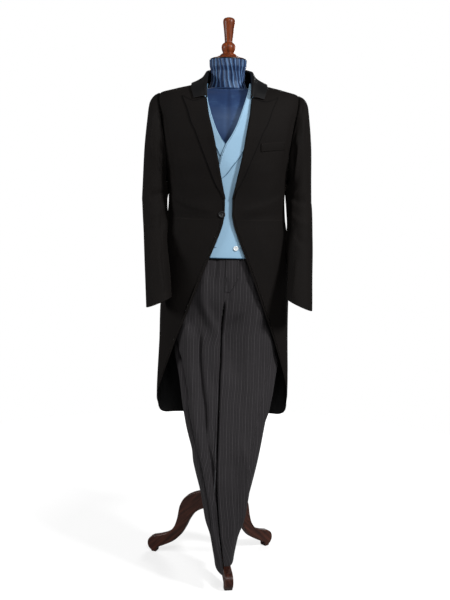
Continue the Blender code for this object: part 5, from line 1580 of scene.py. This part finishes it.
# %% Waistcoat lapels, back and buttons
ROLL = 0.0014  # how far a lapel starts round the edge of its front
for side, name in NAMES.items():
    shape = WAISTCOAT_LAPEL[side]
    low = shape["z"][0]
    z_line = np.unique(np.concatenate([rows_between(low, WAISTCOAT_TOP, 110), low + HEM_STEPS[1:]]))
    inner = waistcoat_edge(side, z_line)
    if side < 0:
        inner = np.maximum(inner, 0.0012 - read(WAISTCOAT_LAP, "x", z_line))
    outer = np.maximum(read(shape, "x", z_line), inner + 0.003)
    reach = ROLL * (0.14 + 0.86 * ease((z_line - 1.325) / 0.02) if side < 0 else 1 + 0 * z_line)
    share = np.concatenate([0 * over, spaced(0, 1, 22, 0.02)])
    back = np.concatenate([np.sin(over), np.zeros(len(share) - len(over))])
    drop = np.concatenate([1 - np.cos(over), np.zeros(len(share) - len(over))])
    x = inner[:, None] + (outer - inner)[:, None] * share - reach[:, None] * back
    z = z_line[:, None] + 0 * x
    lift = (LAYER + WAISTCOAT_CLOTH) * (1 - drop * (reach / ROLL)[:, None])
    lift = lift + 0.0008 * np.exp(-(((share - 0.15) / 0.3) ** 2))
    shape = side * angle_at(x, z), z, lift - WAISTCOAT_DEPTH[side], WAISTCOAT_CLOTH
    piece = coat_piece(f"blue_waistcoat_lapel_{name}", *shape, [pale_wool, pale_wool])
    sewn(piece, f"waistcoat_lapel_{name}")

first = np.maximum(read(WAISTCOAT_ARMHOLE, "back", waistcoat_z), 90.1)
angle, z = patch(waistcoat_z, first, 360 - first, 48, 0.004)
relief = ripple(angle * WAISTCOAT_SIDEWAYS, z, 70, 0.001) - 0.0004
shape = angle, z, -WAISTCOAT_DEPTH[-1], WAISTCOAT_CLOTH
back = coat_piece("blue_waistcoat_back", *shape, [blue_lining, blue_lining], relief)
sewn(back, "waistcoat_back")

for side, name in NAMES.items():
    spots = []
    for number, z in enumerate(WAISTCOAT_BUTTON_ROWS, 1):
        angle = float(angle_at(WAISTCOAT_BUTTON_X[side], z))
        spots.append((coat(angle, z, 0.0009 - WAISTCOAT_DEPTH[1]), surface_normal(coat, angle, z)))
    nodes = [f"waistcoat_button_{name}_{number}" for number in (1, 2, 3)]
    buttons(f"pearl_buttons_{name}", nodes, spots, WAISTCOAT_BUTTON, pearl_and_thread)

# %% Buttonholes of the waistcoat
HOLE = dict(past_button=0.0065, half_length=0.009, half_width=0.0008, thread=0.00055)
loops = []
turn = np.linspace(0, 2 * math.pi, 48)
for height in WAISTCOAT_BUTTON_ROWS:
    x = WAISTCOAT_BUTTON_X[-1] + HOLE["past_button"] + HOLE["half_length"] * np.cos(turn)
    z = height + HOLE["half_width"] * np.sin(turn) + 0.0012 * (x - WAISTCOAT_BUTTON_X[-1]) / 0.01
    path = coat(-angle_at(-x, z), z, 0.0005 - WAISTCOAT_DEPTH[1])
    loops.append((*closed_rings(tube(path, HOLE["thread"])), 0))
obj = put("waistcoat_buttonholes", *joined(loops)[:2], [hole_thread])
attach(obj, "root")
print("buttonholes:", len(loops), "of", len(path), "points each")

# %% [markdown]
# ## The trousers
# Each leg is a front and a back panel. They are held at the waist and hang free from the hip, so
# the long folds start high on the thigh, run down the leg and fan out where it is fullest. The
# front ones are placed as they fall on the real garment, each with its own length, width and depth,
# and the hidden backs get similar ones. At the seams the folds ease out, so that the panels meet.

# %% Folds of the legs
ACROSS_LEG = 0.2  # metres across the cloth from the inner to the outer seam


# Each fold: its line, as shares across the panel and heights, then its width, height and lean.
LEG_FOLDS = {
    (-1, -1): [
        ([(0.085, 1.0), (0.092, 0.95), (0.105, 0.89)], 0.0035, -0.0016, 0.5),
        ([(0.2, 1.0), (0.21, 0.96), (0.23, 0.9)], 0.006, 0.0012, 0.0),
        ([(0.44, 0.79), (0.456, 0.694), (0.444, 0.61), (0.4, 0.528), (0.419, 0.434)],
         0.0085, -0.007, 0.3),
        ([(0.419, 0.47), (0.33, 0.37), (0.24, 0.285), (0.119, 0.206), (0.062, 0.09)],
         0.0085, -0.0066, -0.3),
        ([(0.84, 0.76), (0.79, 0.64), (0.73, 0.52), (0.656, 0.4)], 0.007, -0.0078, 0.2),
        ([(0.656, 0.45), (0.631, 0.318), (0.606, 0.224), (0.7, 0.09)], 0.008, -0.0074, 0.3),
        ([(0.763, 0.7), (0.688, 0.54)], 0.009, -0.003, 0.0),
        ([(0.206, 0.964), (0.244, 0.814), (0.3, 0.6)], 0.011, 0.0042, 0.2),
        ([(0.312, 0.68), (0.263, 0.492), (0.281, 0.38)], 0.008, -0.0034, 0.0),
        ([(0.56, 0.86), (0.6, 0.68), (0.59, 0.52), (0.52, 0.4)], 0.013, 0.0034, 0.2),
        ([(0.5, 0.3), (0.44, 0.2), (0.4, 0.08)], 0.013, 0.0034, 0.0),
        ([(0.85, 0.42), (0.87, 0.3), (0.85, 0.16)], 0.011, 0.0026, 0.0),
    ],
    (1, -1): [
        ([(0.24, 1.0), (0.245, 0.95), (0.26, 0.89)], 0.004, -0.0016, 0.5),
        ([(0.33, 1.0), (0.33, 0.96), (0.34, 0.9)], 0.006, 0.0012, 0.0),
        ([(0.925, 0.72), (0.905, 0.6), (0.88, 0.48)], 0.008, 0.0036, 0.2),
        ([(0.81, 0.72), (0.77, 0.58), (0.72, 0.44), (0.7, 0.28)], 0.0075, -0.0052, 0.0),
        ([(0.513, 0.46), (0.688, 0.332), (0.85, 0.16)], 0.0115, 0.004, 0.3),
        ([(0.4, 0.43), (0.56, 0.3), (0.72, 0.15)], 0.012, -0.003, 0.0),
        ([(0.238, 0.83), (0.3, 0.73), (0.369, 0.6)], 0.012, -0.0034, 0.2),
        ([(0.45, 0.9), (0.48, 0.72), (0.52, 0.52)], 0.014, 0.003, 0.2),
        ([(0.64, 0.86), (0.65, 0.7), (0.62, 0.56)], 0.012, -0.0026, 0.0),
        ([(0.3, 0.38), (0.26, 0.26), (0.3, 0.13)], 0.013, 0.0028, 0.2),
        ([(0.16, 0.56), (0.15, 0.42), (0.18, 0.26)], 0.01, -0.0026, 0.0),
        ([(0.0, 0.93), (0.025, 0.87), (0.09, 0.78)], 0.007, -0.003, 0.2),
    ],
    (-1, 1): [
        ([(0.3, 0.86), (0.42, 0.72), (0.48, 0.56)], 0.012, -0.005, 0.3),
        ([(0.48, 0.6), (0.46, 0.42), (0.5, 0.22)], 0.012, -0.0044, 0.0),
        ([(0.7, 0.82), (0.74, 0.64), (0.7, 0.48)], 0.012, 0.0036, 0.2),
        ([(0.82, 0.56), (0.78, 0.38), (0.8, 0.19)], 0.011, -0.0036, 0.2),
        ([(0.2, 0.56), (0.24, 0.38), (0.22, 0.16)], 0.012, 0.0036, 0.0),
        ([(0.62, 0.38), (0.6, 0.24), (0.64, 0.1)], 0.013, 0.003, 0.0),
    ],
    (1, 1): [
        ([(0.34, 0.85), (0.44, 0.7), (0.5, 0.52)], 0.012, -0.0046, 0.2),
        ([(0.54, 0.5), (0.56, 0.33), (0.54, 0.17)], 0.012, 0.0038, 0.0),
        ([(0.72, 0.8), (0.76, 0.62), (0.74, 0.45)], 0.012, -0.0038, 0.2),
        ([(0.26, 0.56), (0.24, 0.4), (0.28, 0.2)], 0.0115, -0.0038, 0.2),
        ([(0.84, 0.52), (0.82, 0.34), (0.85, 0.18)], 0.011, 0.0032, 0.0),
    ],
}


def trouser_relief(side, face, share, z):
    """The folds of a panel. They ease to nothing at the seams and at the waistband, and to under half at the
    hem.
    """
    on_leg = front_share(share) if face < 0 else share
    across = (share + (on_leg - share) * crotch_share(z)) * ACROSS_LEG
    lines = [([(at * ACROSS_LEG, high) for at, high in line], *rest) for line, *rest in LEG_FOLDS[side, face]]
    relief = (1.9 if face < 0 else 1.4) * folded(across, z, lines)
    relief = relief + ripple(across, z, 80 + side + 3 * face, 0.0026, 0.13)
    relief = relief * ease(share / 0.05) * ease((1 - share) / 0.05)
    near_hem = 0.45 + 0.55 * ease((z - TROUSER_HEM[side]) / 0.1)
    return relief * ease((TROUSER_TOP - WAISTBAND - 0.002 - z) / 0.03) * near_hem


# %% Panels
down = spaced(0, 1, 160, 0.0012)[:, None]
top = TROUSER_TOP - WAISTBAND - SEAM
for side, name in NAMES.items():
    share = (0.0015 + 0.997 * spaced(0, 1, 58, 0.004))[None, :]
    share[0, 3] = INNER_SHARE  # a column stands on the corner between the legs
    hem = TROUSER_HEM[side] + HEM_SLANT[side] * share
    z = top + down * (hem - top)
    share = share + 0 * z
    for face, word in ((-1, "front"), (1, "back")):
        relief = trouser_relief(side, face, share, z)
        outer = trouser(side, face, share, z, relief)
        inner = trouser(side, face, share, z, relief - TROUSER_CLOTH)
        middle = outer.shape[1] // 2
        beside = np.abs(outer[:, middle : middle + 1, 0] - outer[:, :1, 0])  # stripes run beside the fly
        piece = shell(f"striped_trouser_{word}_{name}", outer, inner, trouser_finishes, middle, start=beside)
        sewn(piece, f"trouser_{word}_{name}")

# %% Waistband and fly
FLY_CLOTH = 0.001
turn = full_turn(200)
z = (TROUSER_TOP - WAISTBAND * spaced(0, 1, 12, 0.02))[:, None]


def band(inset):
    """The waistband's ring, which follows the hips."""
    across, ahead = rounded(np.sin(turn), np.cos(turn), FIGURE_POWER)
    depth = depth_at(HIP, z, ahead > 0) - inset
    x = (read(HIP, "half_width", z) - inset) * across + STAND_X * np.maximum(-ahead, 0)
    return np.stack([x, -depth * ahead, z + 0 * x], -1)


piece = shell("striped_waistband", band(0.0), band(TROUSER_CLOTH), trouser_finishes, ring=True)
sewn(piece, "trouser_waistband")

z = np.linspace(FLY["top"], FLY["bottom"], 60)[:, None]
width = FLY["width"] * np.sqrt(np.clip((z - FLY["bottom"] + 0.006) / 0.05, 0.12, 1))
share = 0.004 + spaced(0, 1, 16, 0.03)[None, :] * width / 0.24
z = z + 0 * share
relief = trouser_relief(1, -1, share, z) + SEAM + FLY_CLOTH
outer, inner = trouser(1, -1, share, z, relief), trouser(1, -1, share, z, relief - FLY_CLOTH)
piece = shell("striped_fly", outer, inner, [fly_wool_edge_shaded, trouser_wool], 0)
sewn(piece, "trouser_fly")

# %% [markdown]
# ## The dress form
# The form is a padded body under satin, with seams down the middle and over the breast. Its neck is
# dressed with a gathered sleeve of the same satin, whose flutes lean and differ as cloth drawn up by
# hand does. A cap with a painted rim closes the neck, and the finial above it is turned wood.

# %% The body and the neck
PANEL_SEAMS = (0, 27, 153, 180)  # degrees from the centre front
PANEL_SEAM_DEPTH = 0.0009
turn = np.linspace(0, 360, 144, endpoint=False)[None, :]
hip_z = np.concatenate([FORM_BOTTOM + np.linspace(0, 0.012, 7), np.linspace(0.9, 1.056, 22)])[:, None]
across, ahead = rounded(np.sin(np.radians(turn)), np.cos(np.radians(turn)), FIGURE_POWER)
inset = FORM_HIP_DEPTH + 0.012 * ease(1 - (hip_z - FORM_BOTTOM) / 0.012)
depth = depth_at(HIP, hip_z, ahead > 0) - inset
hips = np.stack([(read(HIP, "half_width", hip_z) - inset) * across, -depth * ahead, hip_z + 0 * across], -1)
z = np.linspace(1.09, 1.495, 100)[:, None]
from_front = np.abs((turn + 180) % 360 - 180)
panel_seams = sum(np.exp(-(((from_front - line) / 0.45) ** 2)) for line in PANEL_SEAMS)
upper = coat(turn + 0 * z, z, -FORM_DEPTH - PANEL_SEAM_DEPTH * panel_seams * (z < 1.49))
wide = np.abs(upper[..., 0])
narrow = FORM_ARMPLATE * np.tanh((wide / FORM_ARMPLATE) ** 3) ** (1 / 3)
upper[..., 0] = np.sign(upper[..., 0]) * (wide + (narrow - wide) * ease((z - 1.14) / 0.03))


def neck_ring(z, out=0.0):
    """The neck's oval at a height."""
    x = NECK_X + (read(NECK, "half_width", z) + out) * np.sin(np.radians(turn))
    y = read(NECK, "centre_y", z) - (read(NECK, "half_depth", z) + out) * np.cos(np.radians(turn))
    return np.stack([x, y, z + 0 * x], -1)


top = neck_ring(np.array([[NECK["z"][0] - SEAM]]))
rings = np.concatenate([hips, upper, top])
points, faces = closed_rings(rings)
shade = np.full(len(points), 0.5)
shade[: rings.shape[0] * rings.shape[1]] -= 0.25 * np.concatenate(
    [0 * hips[..., 0], panel_seams + 0 * z, 0 * top[..., 0]]
).ravel()
fitted(put("form_shape", points, faces, [blue_satin], None, None, shade), "form_torso")

GATHERS, GATHER_DEPTH = 25, 0.003
turn = np.linspace(0, 360, 324, endpoint=False)[None, :]
foot = NECK["z"][0] + np.array([0, 0.0005, 0.0015])
z = np.concatenate([foot, np.linspace(1.486, 1.5655, 60), [1.566]])[:, None]
chance = np.random.default_rng(7)
lean = turn + 170 * (z - 1.53) * (0.6 + 0.5 * np.sin(np.radians(turn * 2 + 40)))
phase = np.radians(GATHERS * lean)
for wave in (2, 3, 5, 7, 11):
    round_neck = np.radians(wave * lean)
    phase = phase + chance.uniform(0.5, 1.5) * np.sin(round_neck + chance.uniform(0, 6.3)) * 1.5 / wave
    phase = phase + 0.25 * np.sin(round_neck + z * 90 + chance.uniform(0, 6.3))
ridge = (0.5 + 0.5 * np.cos(phase)) ** 1.2
deep = 0.7 + 0.3 * np.sin(np.radians(7 * turn) + 1.0)
gather = 0.35 + 0.65 * ease((z - 1.487) / 0.02)
points, faces = closed_rings(neck_ring(z, -GATHER_DEPTH * gather * deep * (1 - ridge)))
# Painted light for the satin: painted highlight on the gathers' ridges and painted shade in their troughs.
shade = np.concatenate([(0.08 + 0.92 * ridge**1.9 * (0.6 + 0.4 * deep)).ravel(), [0.5, 0.5]])
fitted(put("gathered_neck", points, faces, [blue_satin], None, None, shade), "form_neck")

# %% [markdown]
# ## Turned and sawn pieces
# The cap, finial, hub and pole are made on a lathe, so each is a profile turned round an axis, with
# small rounds where the tool breaks a corner. The legs are S-shaped boards with rounded edges.

# %% Lathe work
def turned(profile, centre, fine=7, segments=72):
    """A profile of radius and height, smoothed through its points and turned round an upright axis."""
    profile = np.array(profile, float)
    profile = through(profile, np.linspace(0, len(profile) - 1, fine * (len(profile) - 1) + 1))
    turn = full_turn(segments)
    x = centre[0] + profile[:, :1] * np.sin(turn)
    y = centre[1] - profile[:, :1] * np.cos(turn)
    return closed_rings(np.stack([x, y, profile[:, 1:] + 0 * x], -1))


def lathe(name, node, profiles, centre, finishes, fine=7, segments=72):
    """One piece from one profile or more, each with its own finish."""
    parts = [(*turned(profile, centre, fine, segments), number) for number, profile in enumerate(profiles)]
    points, faces, which = joined(parts)
    widest = max(radius for profile in profiles for radius, _ in profile)
    print(f"{name}: {len(points)} points, {1000 * widest:.1f} mm radius")
    fitted(put(name, points, faces, finishes, which), node)


neck_axis, stand_axis = (NECK_X, 0.0), (STAND_X, STAND_Y)
lathe("black_cap", "form_cap", [CAP_RIM, CAP_DOME], neck_axis, [cap_paint, turned_wood], 5, 96)
lathe("turned_finial", "finial", [FINIAL], neck_axis, [turned_wood])
lathe("turned_hub", "stand_hub", [HUB], stand_axis, [turned_wood])
low, high = HUB[-1][1] + SEAM, FORM_BOTTOM - SEAM
collar_top = low + 0.016
pole = [
    (POLE_RADIUS - 0.002, low), (POLE_RADIUS + 0.002, low + 0.0004), (POLE_RADIUS + 0.0026, low + 0.003),
    (POLE_RADIUS + 0.0026, collar_top - 0.004), (POLE_RADIUS + 0.0016, collar_top - 0.001),
    (POLE_RADIUS, collar_top), (POLE_RADIUS, collar_top + 0.002),
]
NOTCH = dict(half_height=0.002, depth=0.0011)
for level in np.linspace(0.34, 0.78, 9):  # notches by which the height is set
    pole += [(POLE_RADIUS, level - NOTCH["half_height"]), (POLE_RADIUS - NOTCH["depth"], level)]
    pole += [(POLE_RADIUS, level + NOTCH["half_height"])]
pole += [(POLE_RADIUS, high - 0.003), (POLE_RADIUS - 0.0006, high - 0.0005), (POLE_RADIUS - 0.002, high)]
lathe("iron_pole", "stand_pole", [pole], stand_axis, [pole_iron], 4, 48)

# %% Stand legs
out_top = np.linspace(STAND_LEG_TOP["out"][0], STAND_LEG_TOP["out"][-1], 90)
toe_turn = np.radians(np.linspace(78, -62, 26))
TOE = 0.0235  # radius of the rounded toe
toe = np.stack([FOOT_REACH - TOE + TOE * np.cos(toe_turn), 0.027 + 0.025 * np.sin(toe_turn)], -1)
out_under = np.linspace(STAND_LEG_UNDER["out"][-1], STAND_LEG_UNDER["out"][0], 80)
outline = np.concatenate([
    np.stack([out_top, read(STAND_LEG_TOP, "z", out_top)], -1), toe,
    np.stack([np.linspace(0.22, 0.206, 8), np.zeros(8)], -1),
    np.stack([out_under, read(STAND_LEG_UNDER, "z", out_under)], -1),
])
ahead = np.roll(outline, -1, axis=0) - np.roll(outline, 1, axis=0)
inward = unit(np.stack([ahead[:, 1], -ahead[:, 0]], -1))
inward[outline[:, 1] == 0] = (0.0, 0.45)
inward[[0, -1]] = ((0.0, -1.0), (0.0, 1.0))
half, corner = STAND_LEG_WIDTH / 2, 0.0034
arc = np.radians(np.linspace(0, 90, 7))
beside = np.concatenate([-half + corner * (1 - np.cos(arc)), [0.0], half - corner * (1 - np.cos(arc[::-1]))])
shrink = np.concatenate([corner * (1 - np.sin(arc)), [0.0], corner * (1 - np.sin(arc[::-1]))])
near_corner = np.abs(arc - math.pi / 4) * corner
from_corner = np.concatenate([near_corner, [half], near_corner[::-1]])
for number, direction in enumerate(np.radians(STAND_LEG_TURNS), 1):
    run = np.array((math.cos(direction), math.sin(direction)))
    side = np.array((-run[1], run[0]))
    flat = outline + inward * shrink[:, None, None]
    plan = np.array((STAND_X, STAND_Y)) + flat[..., :1] * run + beside[:, None, None] * side
    rings = np.concatenate([plan, flat[..., 1:]], -1)
    index, faces = ring_faces(*rings.shape[:2])
    faces += [index[0, ::-1].tolist(), index[-1].tolist()]
    out, up = flat[..., 0], flat[..., 1]
    grain = np.stack([up * 0.72 + out * 0.69 + beside[:, None], up * 0.69 - out * 0.72], -1).reshape(-1, 2)
    edge = (from_corner[:, None] + 0 * out).ravel()
    leg = put(f"sawn_leg_{number}", rings.reshape(-1, 3), faces, [leg_wood], None, grain, edge)
    for side_face in leg.data.polygons[-2:]:
        side_face.use_smooth = False
    fitted(leg, f"stand_leg_{number}")
print("legs:", len(leg.data.vertices), "points each")

# %% [markdown]
# ## The studio
# A round white floor glows at its rim, where it runs into a white room. A soft light stands in
# front on the right, a weaker one on the left, one behind, and one hangs high in front.

# %% Floor, lights and camera
FLOOR_Y = 0.25  # the floor's middle lies a little behind the suit
FLOOR_DROP = 0.0003  # and just below the feet
FLOOR_RADIUS = 1.72
reach = np.concatenate([np.linspace(0.02, FLOOR_RADIUS - 0.02, 40), [FLOOR_RADIUS]])[:, None]
turn = full_turn(96)
x, y = reach * np.cos(turn), FLOOR_Y + reach * np.sin(turn)
points = np.stack([x, y, 0 * x - FLOOR_DROP], -1).reshape(-1, 3).tolist()
number, faces = ring_faces(*x.shape)
faces = [face[::-1] for face in faces]  # the floor's upper side is its front
mesh = bpy.data.meshes.new("studio_floor")
mesh.from_pydata(points, [], [*faces, number[0].tolist()])
floor_finish = Finish("pale_studio_floor", Specular_IOR_Level=0.1, Emission_Strength=1.0)
speckle = floor_finish.noise(floor_finish.place(), 6.0, 3.0)
paper = floor_finish.blend(speckle, (0.31, 0.31, 0.31), (0.34, 0.34, 0.34))
spot = floor_finish.node("ShaderNodeSeparateXYZ", {}, {0: floor_finish.place()})
deep = spot.other(1) - FLOOR_Y
far = (((spot * spot + deep * deep) ** 0.5 - 0.55) * 0.9).held()
seen = floor_finish.node("ShaderNodeLightPath")  # the paper glows for the camera only, most at its rim
glow = floor_finish.blend((seen * (far * 0.32 + 0.68)).held(), (0.0, 0.0, 0.0), (1.0, 1.0, 1.0))
mesh.materials.append(
    floor_finish.feed(Base_Color=paper, Roughness=0.7 + speckle * 0.2, Emission_Color=glow)
)
in_scene("studio_floor", mesh)
print("floor:", len(faces), "faces")

world = bpy.data.worlds.new("white_room")
world.use_nodes = True
background = world.node_tree.nodes["Background"]
background.inputs["Color"].default_value = (1, 1, 1, 1)
path = world.node_tree.nodes.new("ShaderNodeLightPath")
strength = world.node_tree.nodes.new("ShaderNodeMapRange")
strength.inputs["To Min"].default_value = 0.12  # the light that the room gives
strength.inputs["To Max"].default_value = 1.0  # the wall that the camera sees
world.node_tree.links.new(path.outputs["Is Camera Ray"], strength.inputs["Value"])
world.node_tree.links.new(strength.outputs[0], background.inputs["Strength"])
bpy.context.scene.world = world


def soft_light(name, spot, target, size, watts):
    """A square soft light that faces a point."""
    lamp = bpy.data.lights.new(name, "AREA")
    lamp.shape, lamp.size, lamp.energy = "SQUARE", size, watts
    obj = in_scene(name, lamp)
    obj.location = spot
    obj.rotation_euler = (Vector(target) - Vector(spot)).to_track_quat("-Z", "Y").to_euler()


soft_light("key_light", (2.2, -1.8, 2.5), (0.0, 0.0, 1.1), 0.5, 116)
soft_light("fill_light", (-3.0, -0.9, 1.7), (0.0, 0.0, 1.05), 0.8, 66)
soft_light("front_light", (0.4, -2.6, 3.1), (0.0, 0.0, 1.1), 0.9, 50)
soft_light("back_light", (0.7, 3.4, 1.9), (0.0, 0.0, 0.9), 1.2, 70)

# The camera stands where the photograph was taken from, a little above the suit's middle.
SENSOR = 24
FOCAL_SHARE = 923 / 600  # of the picture's height
EYE = (0.002, -2.82, 1.222)
pitch, roll = math.radians(7.6), math.radians(1.33)
c, s, cp, sp = math.cos(roll), math.sin(roll), math.cos(pitch), math.sin(pitch)
right, down = Vector((c, s * sp, s * cp)), Vector((s, -c * sp, -c * cp))
forward = Vector((0, cp, -sp))
lens = bpy.data.cameras.new("camera")
lens.sensor_fit, lens.sensor_height = "VERTICAL", SENSOR
lens.lens = FOCAL_SHARE * SENSOR
camera = in_scene("camera", lens)
matrix = Matrix((right, -down, -forward)).transposed().to_4x4()
matrix.translation = Vector(EYE) + Vector(SHIFT)
camera.matrix_world = matrix
bpy.context.scene.camera = camera
bpy.context.scene.view_settings.view_transform = "Standard"

# %% Counting the triangles
triangles = {name: sum(len(p.vertices) - 2 for p in obj.data.polygons) for name, obj in made.items()}
largest = max(triangles, key=triangles.get)
print("triangles:", sum(triangles.values()), "in", len(triangles), "pieces, most in", largest)
